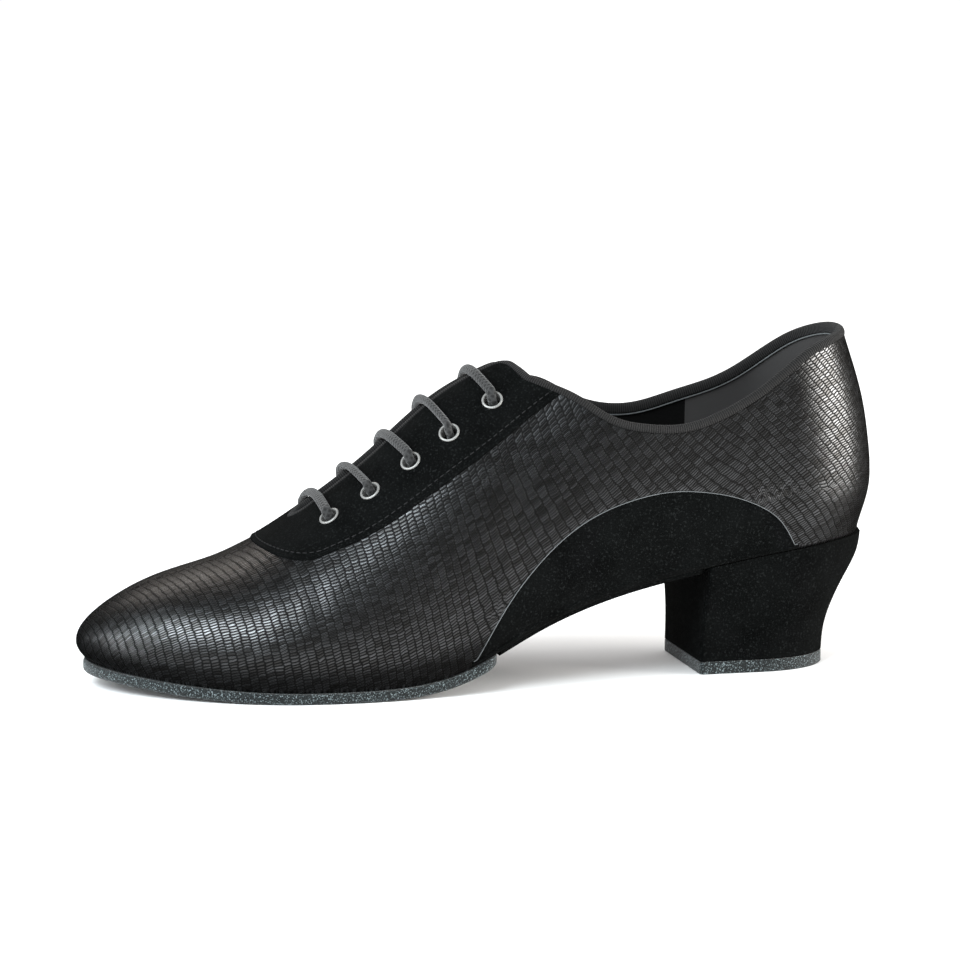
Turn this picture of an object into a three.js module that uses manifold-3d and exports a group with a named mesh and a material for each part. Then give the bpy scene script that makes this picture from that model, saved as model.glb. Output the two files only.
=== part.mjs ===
import * as THREE from "three";
import Module from "manifold-3d";

const wasm = await Module();
wasm.setup();

// Named sizes of the left shoe, in millimetres.
// Toe towards -X, heel towards +X, outer side of the foot towards -Y, floor at Z = 0.
const LENGTH = 250;
const BALL_WIDTH = 86;
const HEEL_HEIGHT = 42;
const INSTEP_HEIGHT = 96;
const BACK_HEIGHT = 62;

const WALL = 2.2;
const GAP = 0.3;
const SOLE_THICK = 3.3;
const MARGIN = 8;

// Rounding of the outline in plan, as shares of the length.
const HEEL_ROUND = 0.13;
const TOE_ROUND = 0.27;
const TOE_DROP = 0.17;
const BACK_FADE = 0.26;
const TOE_FADE = 0.2;
const TOE_UNDERCUT = 3.6;

// Sections of the last, a row for each share of the length from the heel.
// centre, foot and bulge half widths, bulge height and turn are shares of BALL_WIDTH,
// under is a share of HEEL_HEIGHT, ridge a share of INSTEP_HEIGHT, the last three are exponents.
const SECTION_COLUMNS = [
  "at", "centre", "footLat", "footMed", "bulgeLat", "bulgeMed", "under", "bulge", "turn", "ridge",
  "crownLat", "crownMed", "side",
];
const SECTIONS = [
  [0.00, 0.000, 0.315, 0.305, 0.345, 0.335, 1.000, 0.210, 0.014, 1.460, 2.0, 2.0, 2.2],
  [0.06, 0.000, 0.318, 0.308, 0.347, 0.337, 0.985, 0.210, 0.014, 1.460, 2.0, 2.0, 2.2],
  [0.12, 0.000, 0.320, 0.310, 0.350, 0.340, 0.945, 0.210, 0.014, 1.460, 2.0, 2.0, 2.2],
  [0.24, -0.005, 0.320, 0.300, 0.355, 0.345, 0.825, 0.200, 0.034, 1.360, 2.0, 2.0, 2.2],
  [0.36, -0.015, 0.325, 0.285, 0.370, 0.365, 0.665, 0.180, 0.042, 1.180, 2.0, 2.0, 2.1],
  [0.46, -0.015, 0.350, 0.295, 0.395, 0.385, 0.440, 0.160, 0.038, 1.038, 1.9, 2.0, 2.1],
  [0.56, -0.005, 0.400, 0.350, 0.440, 0.415, 0.165, 0.150, 0.018, 0.900, 1.9, 2.0, 2.1],
  [0.64, 0.010, 0.445, 0.410, 0.475, 0.445, 0.092, 0.130, 0.012, 0.715, 2.0, 2.0, 2.1],
  [0.70, 0.025, 0.465, 0.450, 0.490, 0.475, 0.0845, 0.120, 0.012, 0.5915, 2.0, 2.0, 2.1],
  [0.76, 0.040, 0.465, 0.465, 0.487, 0.485, 0.0845, 0.110, 0.012, 0.479, 2.1, 2.1, 2.2],
  [0.82, 0.052, 0.445, 0.460, 0.465, 0.478, 0.094, 0.095, 0.012, 0.398, 2.2, 2.2, 2.2],
  [0.90, 0.062, 0.400, 0.440, 0.420, 0.455, 0.125, 0.080, 0.012, 0.350, 2.3, 2.3, 2.2],
  [1.00, 0.068, 0.340, 0.400, 0.360, 0.415, 0.190, 0.065, 0.012, 0.294, 2.3, 2.3, 2.2],
];

// Lean of the back line in millimetres against the height over the seat, a share of BACK_HEIGHT.
const BACK_COLUMNS = ["height", "lean"];
const BACK = [
  [-0.30, 1.0],
  [0.00, 4.0],
  [0.20, 0.6],
  [0.45, 0.7],
  [0.70, 3.4],
  [1.00, 9.4],
  [1.30, 14.4],
];

// Top edge of the wall on each side, a share of INSTEP_HEIGHT against the share of the length.
const COLLAR_COLUMNS = ["at", "outer", "inner"];
const COLLAR = [
  [0.00, 1.084, 1.084],
  [0.05, 1.066, 1.032],
  [0.10, 1.024, 0.959],
  [0.16, 0.930, 0.882],
  [0.22, 0.849, 0.837],
  [0.27, 0.809, 0.803],
  [0.32, 0.811, 0.805],
  [0.37, 0.846, 0.852],
  [0.41, 0.913, 0.908],
  [0.44, 0.948, 0.926],
  [0.47, 0.978, 0.948],
  [0.50, 1.002, 0.976],
];
const COLLAR_END = 0.5;
const CORNER_RUN = 0.035;
const BACK_POWER = 1.5;
const CORNER_SOFTNESS = 14;
const CORNER_PUSH = 12;

// Throat between the facings: offset of its middle from the crest and half its width.
const THROAT_MIDDLE = 0.035 * BALL_WIDTH;
const THROAT_HALF = 0.066 * BALL_WIDTH;
const THROAT_FRONT = 0.738;
const THROAT_ROUND = THROAT_HALF / LENGTH;

// Lower border of the facing panel, half widths from the crest as shares of BALL_WIDTH.
const EYESTAY_COLUMNS = ["at", "outer", "inner"];
const EYESTAY = [
  [0.42, 0.240, 0.250],
  [0.46, 0.258, 0.272],
  [0.50, 0.284, 0.300],
  [0.56, 0.318, 0.335],
  [0.62, 0.339, 0.355],
  [0.68, 0.345, 0.358],
  [0.73, 0.332, 0.345],
  [0.79, 0.325, 0.335],
];
const EYESTAY_BACK = 0.425;
const EYESTAY_FRONT = 0.782;
const EYESTAY_ROUND = 0.06;
const EYESTAY_PROUD = 0.5;
const EYESTAY_DEPTH = 0.4;

// Upper border of the arch panels, heights as shares of INSTEP_HEIGHT.
const ARCH_COLUMNS = ["at", "height"];
const ARCH = [
  [0.114, 0.400],
  [0.144, 0.505],
  [0.172, 0.558],
  [0.204, 0.592],
  [0.248, 0.616],
  [0.290, 0.622],
  [0.345, 0.598],
  [0.412, 0.522],
  [0.471, 0.387],
  [0.516, 0.226],
  [0.546, 0.075],
];
const ARCH_BACK = 0.116;
const ARCH_FRONT = 0.5445;
const ARCH_DEPTH = 0.8;
const ARCH_LOW = 0.55;

// Eyelets along the facings: share of the length and distance from the crest in shares of BALL_WIDTH.
const EYELET_COLUMNS = ["at", "outer", "inner"];
const EYELETS = [
  [0.7025, 0.197, 0.262],
  [0.6539, 0.213, 0.270],
  [0.6053, 0.218, 0.272],
  [0.5580, 0.214, 0.268],
  [0.5025, 0.183, 0.245],
];
const FLANGE_RADIUS = 3.35;
const FLANGE_THICK = 0.55;
const BARREL_RADIUS = 2.55;
const HOLE_RADIUS = 2.15;
const EYELET_SIDES = 8;
const LACE_RADIUS = 1.75;
const LACE_SIDES = 7;

// Heel block: a row for each height share between top piece and seat.
// back and front are shares of LENGTH from the heel, half width is a share of BALL_WIDTH.
const HEEL_COLUMNS = ["height", "back", "front", "half", "round"];
const HEEL = [
  [0.00, 0.0575, 0.2380, 0.232, 0.100],
  [0.20, 0.0545, 0.2375, 0.234, 0.104],
  [0.42, 0.0435, 0.2370, 0.245, 0.112],
  [0.64, 0.0275, 0.2365, 0.270, 0.120],
  [0.84, 0.0135, 0.2360, 0.296, 0.127],
  [1.00, 0.0100, 0.2360, 0.312, 0.130],
];
const TOP_PIECE = 4;

function column(table, columns, name) {
  const index = columns.indexOf(name);
  return table.map((row) => row[index]);
}

// Natural cubic through the rows of one column.
function curve(table, columns, name) {
  const xs = column(table, columns, columns[0]);
  const ys = column(table, columns, name);
  const n = xs.length;
  const bend = new Array(n).fill(0);
  const upper = new Array(n).fill(0);
  for (let i = 1; i < n - 1; i += 1) {
    const a = xs[i] - xs[i - 1];
    const b = xs[i + 1] - xs[i];
    const slope = (ys[i + 1] - ys[i]) / b - (ys[i] - ys[i - 1]) / a;
    const pivot = 2 * (a + b) - a * upper[i - 1];
    upper[i] = b / pivot;
    bend[i] = (6 * slope - a * bend[i - 1]) / pivot;
  }
  for (let i = n - 2; i > 0; i -= 1) {
    bend[i] -= upper[i] * bend[i + 1];
  }
  return (value) => {
    const x = Math.min(Math.max(value, xs[0]), xs[n - 1]);
    let k = 0;
    while (k < n - 2 && x > xs[k + 1]) {
      k += 1;
    }
    const h = xs[k + 1] - xs[k];
    const p = (xs[k + 1] - x) / h;
    const q = (x - xs[k]) / h;
    const sag = ((p ** 3 - p) * bend[k] + (q ** 3 - q) * bend[k + 1]) * h * h / 6;
    return p * ys[k] + q * ys[k + 1] + sag;
  };
}

const section = {};
for (const name of SECTION_COLUMNS.slice(1)) {
  section[name] = curve(SECTIONS, SECTION_COLUMNS, name);
}
const backLine = curve(BACK, BACK_COLUMNS, "lean");
const collar = {
  outer: curve(COLLAR, COLLAR_COLUMNS, "outer"),
  inner: curve(COLLAR, COLLAR_COLUMNS, "inner"),
};
const eyestayHalf = {
  outer: curve(EYESTAY, EYESTAY_COLUMNS, "outer"),
  inner: curve(EYESTAY, EYESTAY_COLUMNS, "inner"),
};
const archTop = curve(ARCH, ARCH_COLUMNS, "height");
const heel = {};
for (const name of HEEL_COLUMNS.slice(1)) {
  heel[name] = curve(HEEL, HEEL_COLUMNS, name);
}

function clamp(value, low, high) {
  return Math.min(Math.max(value, low), high);
}

// One at zero, falling to nought at one like a superellipse.
function closing(share, power) {
  return Math.sqrt(Math.max(0, 1 - clamp(share, 0, 1) ** power));
}

// Sizes of the section at a share of the length.
function sizes(at) {
  const heelEnd = closing((HEEL_ROUND - at) / HEEL_ROUND, 2.1);
  const toeEnd = closing((at - 1 + TOE_ROUND) / TOE_ROUND, 2.3);
  const toeDrop = closing((at - 1 + TOE_DROP) / TOE_DROP, 2.3);
  const width = BALL_WIDTH * heelEnd * toeEnd;
  const under = section.under(at) * HEEL_HEIGHT;
  const bulge = under + section.bulge(at) * BALL_WIDTH;
  return {
    centre: section.centre(at) * BALL_WIDTH,
    foot: { outer: section.footLat(at) * width, inner: section.footMed(at) * width },
    bulgeHalf: { outer: section.bulgeLat(at) * width, inner: section.bulgeMed(at) * width },
    crown: { outer: section.crownLat(at), inner: section.crownMed(at) },
    side: section.side(at),
    under,
    bulge,
    turn: section.turn(at) * BALL_WIDTH,
    ridge: bulge + (section.ridge(at) * INSTEP_HEIGHT - bulge) * toeDrop,
  };
}

// X of a point at a share of the length, with the lean of the back and the undercut of the toe.
function lengthwise(at, z, drop) {
  const fade = Math.max(0, 1 - at / BACK_FADE) ** BACK_POWER;
  const toe = Math.max(0, (at - 1 + TOE_FADE) / TOE_FADE) ** BACK_POWER;
  const lean = backLine((z - HEEL_HEIGHT) / BACK_HEIGHT) * fade;
  return LENGTH / 2 - at * LENGTH - lean + TOE_UNDERCUT * drop * drop * toe;
}

// The outer side of the foot has positive ring shares, the inner side negative ones.
function wrap(ring) {
  if (ring > 1) return ring - 2;
  if (ring < -1) return ring + 2;
  return ring;
}

function shareOf(ring) {
  return (1 - Math.cos(Math.PI * Math.abs(ring))) / 2;
}

function ringOf(at) {
  return Math.acos(clamp(1 - 2 * at, -1, 1)) / Math.PI;
}

// Point of the wall below the bulge, drop being nought at the bulge and one at the foot.
function lowerPoint(ring, drop) {
  const at = shareOf(ring);
  const s = sizes(at);
  const which = ring >= 0 ? "outer" : "inner";
  const sign = ring >= 0 ? -1 : 1;
  const half = s.bulgeHalf[which] - (s.bulgeHalf[which] - s.foot[which]) * drop * drop;
  const z = s.bulge - drop * (s.bulge - s.under);
  return [lengthwise(at, z, drop), s.centre + sign * half, z];
}

function dropOfTurn(s) {
  return 1 - s.turn / (s.bulge - s.under);
}

// Plan outline where the wall starts to turn under, moved inwards by a distance.
function footLine(ring, inward) {
  const step = 1e-3;
  const drop = dropOfTurn(sizes(shareOf(ring)));
  const p = lowerPoint(ring, drop);
  const a = lowerPoint(wrap(ring - step), drop);
  const b = lowerPoint(wrap(ring + step), drop);
  const along = Math.hypot(b[0] - a[0], b[1] - a[1]);
  return [p[0] + (b[1] - a[1]) / along * inward, p[1] - (b[0] - a[0]) / along * inward];
}

const seat = (at) => section.under(at) * HEEL_HEIGHT;
const seatUnder = (x) => seat((LENGTH / 2 - x) / LENGTH);

// Height of the underside at a point moved in from the foot line of a ring share.
function levelAt(ring, x) {
  return seat(shareOf(ring)) + seatUnder(x) - seatUnder(footLine(ring, 0)[0]);
}

// Point of the last: girth 0 under the foot edge, 1 above its turn, 2 at the bulge, 3 at the crest.
function lastPoint(ring, girth) {
  if (girth > 3) {
    return lastPoint(-ring, 6 - girth);
  }
  const at = shareOf(ring);
  const s = sizes(at);
  if (girth >= 2) {
    const which = ring >= 0 ? "outer" : "inner";
    const sign = ring >= 0 ? -1 : 1;
    const angle = (girth - 2) * Math.PI / 2;
    const across = Math.max(0, Math.cos(angle)) ** (2 / s.crown[which]);
    const z = s.bulge + Math.sin(angle) ** (2 / s.side) * (s.ridge - s.bulge);
    return [lengthwise(at, z, 0), s.centre + sign * s.bulgeHalf[which] * across, z];
  }
  const turned = dropOfTurn(s);
  if (girth >= 1) {
    return lowerPoint(ring, (2 - girth) * turned);
  }
  const angle = (1 - girth) * Math.PI / 2;
  const [x, y] = footLine(ring, s.turn * (1 - Math.cos(angle)));
  return [x, y, levelAt(ring, x) + s.turn * (1 - Math.sin(angle))];
}

function minus(a, b) {
  return [a[0] - b[0], a[1] - b[1], a[2] - b[2]];
}

function plus(a, b, scale) {
  return [a[0] + b[0] * scale, a[1] + b[1] * scale, a[2] + b[2] * scale];
}

function cross(a, b) {
  return [a[1] * b[2] - a[2] * b[1], a[2] * b[0] - a[0] * b[2], a[0] * b[1] - a[1] * b[0]];
}

function unit(a) {
  const size = Math.hypot(a[0], a[1], a[2]);
  return [a[0] / size, a[1] / size, a[2] / size];
}

// Outward direction of the last's surface.
function lastNormal(ring, girth) {
  if (girth > 3) {
    return lastNormal(-ring, 6 - girth);
  }
  if (girth <= 0) {
    return [0, 0, -1];
  }
  const step = 2e-3;
  const q = Math.abs(ring) > 0.999 ? Math.min(girth, 2) : girth;
  const low = q > 2 ? Math.max(q - step, 2) : q - step;
  const along = minus(lastPoint(wrap(ring + step), q), lastPoint(wrap(ring - step), q));
  const up = minus(lastPoint(ring, q + step), lastPoint(ring, low));
  return unit(cross(up, along));
}

function lastOffset(ring, girth, outward) {
  return plus(lastPoint(ring, girth), lastNormal(ring, girth), outward);
}

// Girth of a height on one side, or of a distance from the crest.
function girthOfHeight(ring, z) {
  const s = sizes(shareOf(ring));
  if (z >= s.bulge) {
    const rise = clamp((z - s.bulge) / (s.ridge - s.bulge), 0, 1);
    return 2 + Math.asin(rise ** (s.side / 2)) * 2 / Math.PI;
  }
  const drop = (s.bulge - z) / (s.bulge - s.under);
  const turned = dropOfTurn(s);
  if (drop <= turned) {
    return 2 - drop / turned;
  }
  const sine = clamp((s.under + s.turn - z) / s.turn, 0, 1);
  return 1 - Math.asin(sine) * 2 / Math.PI;
}

// Signed offset from the crest, negative towards the outer side; counted from that side's foot.
function girthOfOffset(at, offset) {
  const s = sizes(at);
  const which = offset < 0 ? "outer" : "inner";
  const share = clamp(Math.abs(offset) / Math.max(s.bulgeHalf[which], 1e-6), 0, 1);
  const angle = Math.acos(share ** (s.crown[which] / 2));
  const girth = 2 + angle * 2 / Math.PI;
  return offset < 0 ? girth : 6 - girth;
}

function softLower(a, b) {
  return -Math.log(Math.exp(-CORNER_SOFTNESS * a) + Math.exp(-CORNER_SOFTNESS * b)) / CORNER_SOFTNESS;
}

// Top of the wall on one side, as a girth counted from the outer side's foot.
function topGirth(at, which) {
  const ring = which === "outer" ? ringOf(at) : -ringOf(at);
  const sign = which === "outer" ? -1 : 1;
  const front = clamp((at - THROAT_FRONT + THROAT_ROUND) / THROAT_ROUND, 0, 1);
  const half = THROAT_HALF * Math.sqrt(Math.max(0, 1 - front * front));
  const facing = girthOfOffset(at, THROAT_MIDDLE + sign * half);
  if (at > COLLAR_END + 0.02) {
    return facing;
  }
  const high = collar[which](at) * INSTEP_HEIGHT;
  const side = girthOfHeight(ring, high);
  if (at < COLLAR_END - 0.15) {
    return which === "outer" ? side : 6 - side;
  }
  const beyond = Math.max(0, at - COLLAR_END + CORNER_RUN) * CORNER_PUSH;
  if (which === "outer") {
    return softLower(side + beyond, facing);
  }
  return 6 - softLower(side + beyond, 6 - facing);
}

// Builds a solid from points and triangles, welding points that fall together.
function solid(points, triangles) {
  const keys = new Map();
  const place = [];
  const index = points.map((p) => {
    const key = p.map((v) => Math.round(v * 2000)).join();
    if (!keys.has(key)) {
      keys.set(key, place.length / 3);
      place.push(...p);
    }
    return keys.get(key);
  });
  const faces = [];
  let volume = 0;
  for (const [a, b, c] of triangles) {
    const [p, q, r] = [index[a], index[b], index[c]];
    if (p === q || q === r || r === p) {
      continue;
    }
    faces.push(p, q, r);
    const spoke = points[a];
    const turn = cross(points[b], points[c]);
    volume += spoke[0] * turn[0] + spoke[1] * turn[1] + spoke[2] * turn[2];
  }
  if (volume < 0) {
    faces.reverse();
  }
  return new wasm.Manifold(new wasm.Mesh({
    numProp: 3,
    vertProperties: new Float32Array(place),
    triVerts: new Uint32Array(faces),
  }));
}

// Closed slab between two sheets of equal rows and columns.
// A ring slab joins its last row to its first, and sealed(i) tells where the far edge is already joined.
function slab(outer, inner, ringed = false, sealed = () => false) {
  const rows = outer.length;
  const cols = outer[0].length;
  const points = [...outer.flat(), ...inner.flat()];
  const lower = rows * cols;
  const id = (i, j) => (i % rows) * cols + j;
  const triangles = [];
  const quad = (a, b, c, d) => triangles.push([a, b, c], [a, c, d]);
  const last = ringed ? rows : rows - 1;
  const end = rows - 1;
  for (let i = 0; i < last; i += 1) {
    for (let j = 0; j < cols - 1; j += 1) {
      quad(id(i, j), id(i + 1, j), id(i + 1, j + 1), id(i, j + 1));
      quad(lower + id(i, j), lower + id(i, j + 1), lower + id(i + 1, j + 1), lower + id(i + 1, j));
    }
    quad(id(i, 0), lower + id(i, 0), lower + id(i + 1, 0), id(i + 1, 0));
    if (!sealed(i)) {
      quad(id(i, cols - 1), id(i + 1, cols - 1), lower + id(i + 1, cols - 1), lower + id(i, cols - 1));
    }
  }
  for (let j = 0; !ringed && j < cols - 1; j += 1) {
    quad(id(0, j), id(0, j + 1), lower + id(0, j + 1), lower + id(0, j));
    quad(id(end, j), lower + id(end, j), lower + id(end, j + 1), id(end, j + 1));
  }
  return solid(points, triangles);
}

// Solid through closed rings of equal count; the caps join point k to point n - 1 - k,
// or to n - 2 - k when the ring ends on a point of its own.
function stack(rings, ownEnd = false) {
  const n = rings[0].length;
  const points = rings.flat();
  const triangles = [];
  const quad = (a, b, c, d) => triangles.push([a, b, c], [a, c, d]);
  for (let r = 0; r < rings.length - 1; r += 1) {
    for (let k = 0; k < n; k += 1) {
      const next = (k + 1) % n;
      quad(r * n + k, r * n + next, (r + 1) * n + next, (r + 1) * n + k);
    }
  }
  const far = ownEnd ? n - 2 : n - 1;
  const top = (rings.length - 1) * n;
  for (let k = 0; k < far - k; k += 1) {
    quad(k, far - k, far - k - 1, k + 1);
    quad(top + k, top + k + 1, top + far - k - 1, top + far - k);
  }
  if (ownEnd) {
    triangles.push([n - 1, n - 2, 0], [top + n - 1, top, top + n - 2]);
  }
  return solid(points, triangles);
}

// Slab over a patch of the last from low(at) to high(at), both counted from the outer side's foot.
function patch(stations, low, high, steps, inside, outside) {
  const sheet = (outward) => stations.map((at) => {
    const a = low(at);
    const b = Math.max(high(at), a);
    const line = [];
    for (let j = 0; j <= steps; j += 1) {
      line.push(lastOffset(ringOf(at), a + (b - a) * j / steps, outward));
    }
    return line;
  });
  return slab(sheet(outside), sheet(inside), false);
}

function spread(from, to, count) {
  const list = [];
  for (let i = 0; i <= count; i += 1) {
    list.push(from + (to - from) * i / count);
  }
  return list;
}

// Stations bunched towards both ends.
function bunched(from, to, count) {
  return spread(0, 1, count).map((v) => from + (to - from) * (1 - Math.cos(Math.PI * v)) / 2);
}

// Stations of the upper, closer together at the heel, the facing corners, the throat and the toe.
const HEEL_STATIONS = [0, 0.004, 0.015, 0.033, 0.058, 0.09];
const SIDE_STATIONS = spread(0.13, 0.41, 7);
const CORNER_STATIONS = spread(0.43, 0.51, 5);
const FACING_STATIONS = spread(0.545, 0.69, 5);
const THROAT_STATIONS = [1, 0.66, 0.36, 0.14].map((v) => THROAT_FRONT - THROAT_ROUND * v);
const VAMP_STATIONS = [...spread(0.775, 0.895, 3), 0.925, 0.95, 0.97, 0.985, 0.996];
const OPEN_STATIONS = [
  ...HEEL_STATIONS, ...SIDE_STATIONS, ...CORNER_STATIONS, ...FACING_STATIONS, ...THROAT_STATIONS,
];
const SHELL_STATIONS = [...OPEN_STATIONS, THROAT_FRONT, ...VAMP_STATIONS];
const CROWN_STEPS = 6;
const FOOT_TURNS = [0, 0.5, 1];
const FILLET = 0.9;

// One column of the upper from the edge of its turned-in margin to its top.
function wallColumn(at, which, outward) {
  const ring = which === "outer" ? ringOf(at) : -ringOf(at);
  const s = sizes(at);
  const [x, y] = footLine(ring, s.turn + MARGIN);
  const line = [[x, y, levelAt(ring, x) - outward]];
  const round = Math.max(s.turn + outward, FILLET);
  for (const turn of FOOT_TURNS) {
    const angle = (1 - turn) * Math.PI / 2;
    if (outward === 0) {
      line.push(lastPoint(ring, turn));
    } else if (turn < 1) {
      const corner = footLine(ring, -outward + round * (1 - Math.cos(angle)));
      line.push([...corner, levelAt(ring, corner[0]) - outward + round * (1 - Math.sin(angle))]);
    } else {
      line.push(lastOffset(ring, girthOfHeight(ring, s.under - outward + round), outward));
    }
  }
  line.push(lastOffset(ring, 1.5, outward), lastOffset(ring, 2, outward));
  const seam = girthOfOffset(at, THROAT_MIDDLE);
  const top = at >= THROAT_FRONT ? seam : topGirth(at, which);
  const own = which === "outer" ? top : 6 - top;
  for (let j = 1; j <= CROWN_STEPS; j += 1) {
    line.push(lastOffset(ring, 2 + (own - 2) * j / CROWN_STEPS, outward));
  }
  return line;
}

function makeUpper() {
  const columns = SHELL_STATIONS.map((at) => ({ at, which: "outer" }));
  columns.push({ at: 1, which: "outer" });
  for (const at of SHELL_STATIONS.slice(1).reverse()) {
    columns.push({ at, which: "inner" });
  }
  const sheet = (outward) => columns.map((c) => wallColumn(c.at, c.which, outward));
  const sealed = (i) => {
    const next = columns[(i + 1) % columns.length];
    return columns[i].at >= THROAT_FRONT && next.at >= THROAT_FRONT;
  };
  return slab(sheet(0), sheet(-WALL), true, sealed);
}

// Facing panel around the throat, grown by a distance where it serves as the cutter of its recess.
function facingPanel(inside, outside, grow, count, steps) {
  const front = EYESTAY_FRONT + grow / LENGTH;
  const half = (at, which) => {
    const round = closing((at - front + EYESTAY_ROUND) / EYESTAY_ROUND, 2.2);
    return (eyestayHalf[which](at) * BALL_WIDTH + grow) * round;
  };
  const stations = [
    ...spread(EYESTAY_BACK - grow / LENGTH, front - EYESTAY_ROUND, count),
    ...[0.3, 0.55, 0.76, 0.91, 0.98, 1].map((v) => front - EYESTAY_ROUND * (1 - v)),
  ];
  return patch(
    stations,
    (at) => girthOfOffset(at, -half(at, "outer") - 1e-9),
    (at) => girthOfOffset(at, half(at, "inner") + 1e-9),
    steps,
    inside,
    outside,
  );
}

// Everything over the collar and between the facings.
function opening() {
  const stations = [...spread(0.36, 0.43, 2), ...CORNER_STATIONS.slice(1), ...FACING_STATIONS,
    ...THROAT_STATIONS, THROAT_FRONT];
  return patch(stations, (at) => topGirth(at, "outer"), (at) => topGirth(at, "inner"), 8, -6, 6);
}

// Panel of the arch on one side of the shoe.
function archPanel(which, inside, outside, grow) {
  const from = ARCH_BACK - grow / LENGTH + (grow > 0 ? 0 : 0.003);
  const to = ARCH_FRONT + grow / LENGTH;
  const stations = bunched(from, to, 13);
  const columns = (outward) => stations.map((at) => {
    const ring = which === "outer" ? ringOf(at) : -ringOf(at);
    const high = archTop(clamp(at, ARCH_BACK, ARCH_FRONT)) * INSTEP_HEIGHT + grow;
    const low = ARCH_LOW - grow / 6;
    const top = Math.max(girthOfHeight(ring, high), low + 0.02);
    return spread(low, top, 4).map((girth) => lastOffset(ring, girth, outward));
  });
  return slab(columns(outside), columns(inside));
}

// Bead folded over the top edge of the wall and the facings.
const BEAD_HALF = WALL / 2 + 0.6;
const BEAD_LOW = GAP + 0.15;
const BEAD = [
  [-BEAD_HALF, BEAD_LOW],
  [BEAD_HALF, BEAD_LOW],
  [BEAD_HALF, 1.9],
  [0.8, 2.6],
  [-0.8, 2.6],
  [-BEAD_HALF, 1.9],
];
const BEAD_MIDDLE = 0.15 - WALL / 2;

function makeBinding() {
  const stations = [...OPEN_STATIONS, THROAT_FRONT - THROAT_ROUND * 0.04];
  const path = stations.map((at) => ({ at, which: "outer" }));
  path.push({ at: THROAT_FRONT, which: "outer" });
  for (const at of stations.slice(1).reverse()) {
    path.push({ at, which: "inner" });
  }
  const stops = path.map(({ at, which }) => {
    const top = at >= THROAT_FRONT ? girthOfOffset(at, THROAT_MIDDLE) : topGirth(at, which);
    const ring = which === "outer" ? ringOf(at) : -ringOf(at);
    const own = which === "outer" ? top : 6 - top;
    return { point: lastOffset(ring, own, BEAD_MIDDLE), normal: lastNormal(ring, own) };
  });
  const n = stops.length;
  const rings = stops.map((stop, i) => {
    const along = unit(minus(stops[(i + 1) % n].point, stops[(i + n - 1) % n].point));
    const up = unit(cross(along, stop.normal));
    const out = unit(cross(up, along));
    return BEAD.map(([across, rise]) => plus(plus(stop.point, out, across), up, rise));
  });
  const triangles = [];
  const m = BEAD.length;
  for (let i = 0; i < n; i += 1) {
    for (let k = 0; k < m; k += 1) {
      const a = i * m + k;
      const b = i * m + (k + 1) % m;
      const c = ((i + 1) % n) * m + (k + 1) % m;
      const d = ((i + 1) % n) * m + k;
      triangles.push([a, b, c], [a, c, d]);
    }
  }
  return solid(rings.flat(), triangles);
}

// Outline of the foot at each station, from the rear outer side round the toe and back.
function outline(stations, inward, height) {
  const side = (which) => stations.map((at) => {
    const ring = which === "outer" ? ringOf(at) : -ringOf(at);
    const [x, y] = footLine(ring, inward(at));
    return [x, y, height(levelAt(ring, x))];
  });
  return { outer: side("outer"), inner: side("inner").reverse() };
}

// Point of the centre line at the toe or at the heel.
function endPoint(ring, inward, height) {
  const [x, y] = footLine(ring, inward);
  return [x, y, height(levelAt(ring, x))];
}

const SOLE_BACK = 0.505;
const SOLE_ROUND = 0.026;
const SOLE_OVER = 0.25;
const SOLE_STATIONS = [
  ...[0, 0.12, 0.4, 1].map((v) => SOLE_BACK + SOLE_ROUND * v),
  ...SHELL_STATIONS.filter((at) => at > SOLE_BACK + SOLE_ROUND + 0.005),
];

function makeOutsole() {
  const corner = (at) => {
    const share = clamp((SOLE_BACK + SOLE_ROUND - at) / SOLE_ROUND, 0, 1);
    return SOLE_ROUND * LENGTH * (1 - Math.sqrt(1 - share * share));
  };
  const level = (inset, height) => {
    const { outer, inner } = outline(SOLE_STATIONS, (at) => corner(at) - SOLE_OVER + inset, height);
    return [...outer, endPoint(1, inset - SOLE_OVER, height), ...inner];
  };
  const bottom = (z) => Math.max(0, z - GAP - SOLE_THICK);
  return stack([
    level(0.6, bottom),
    level(0, (z) => bottom(z) + 0.6),
    level(0, (z) => z - GAP - 0.4),
    level(0.4, (z) => z - GAP),
  ]);
}

const INSOLE_THICK = 2;
const INSOLE_INSET = WALL + 1.1;
const INSOLE_STATIONS = SHELL_STATIONS.slice(1);

function makeInsole() {
  const level = (rise) => {
    const height = (z) => z + rise;
    const { outer, inner } = outline(INSOLE_STATIONS, () => INSOLE_INSET, height);
    const toe = endPoint(1, INSOLE_INSET, height);
    return [...outer, toe, ...inner, endPoint(0, INSOLE_INSET, height)];
  };
  return stack([level(WALL + GAP), level(WALL + GAP + INSOLE_THICK)], true);
}

const WAIST_THICK = 1.6;
const WAIST_EDGE = 0.6;

function makeWaistCover() {
  const stations = spread(0.2425, 0.5025, 8);
  const level = (inset, rise) => {
    const inward = (at) => section.turn(at) * BALL_WIDTH + inset;
    const { outer, inner } = outline(stations, inward, (z) => z + rise);
    return [...outer, ...inner];
  };
  return stack([
    level(WAIST_EDGE + 1.2, -GAP - WAIST_THICK),
    level(WAIST_EDGE, -GAP - WAIST_THICK * 0.5),
    level(WAIST_EDGE, -GAP - 0.1),
  ]);
}

// Plan of the heel at a height share, from the outer front corner round the back.
const HEEL_SPREAD = [1, 0.72, 0.48, 0.3, 0.17, 0.08, 0.025, 0.004];

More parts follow.
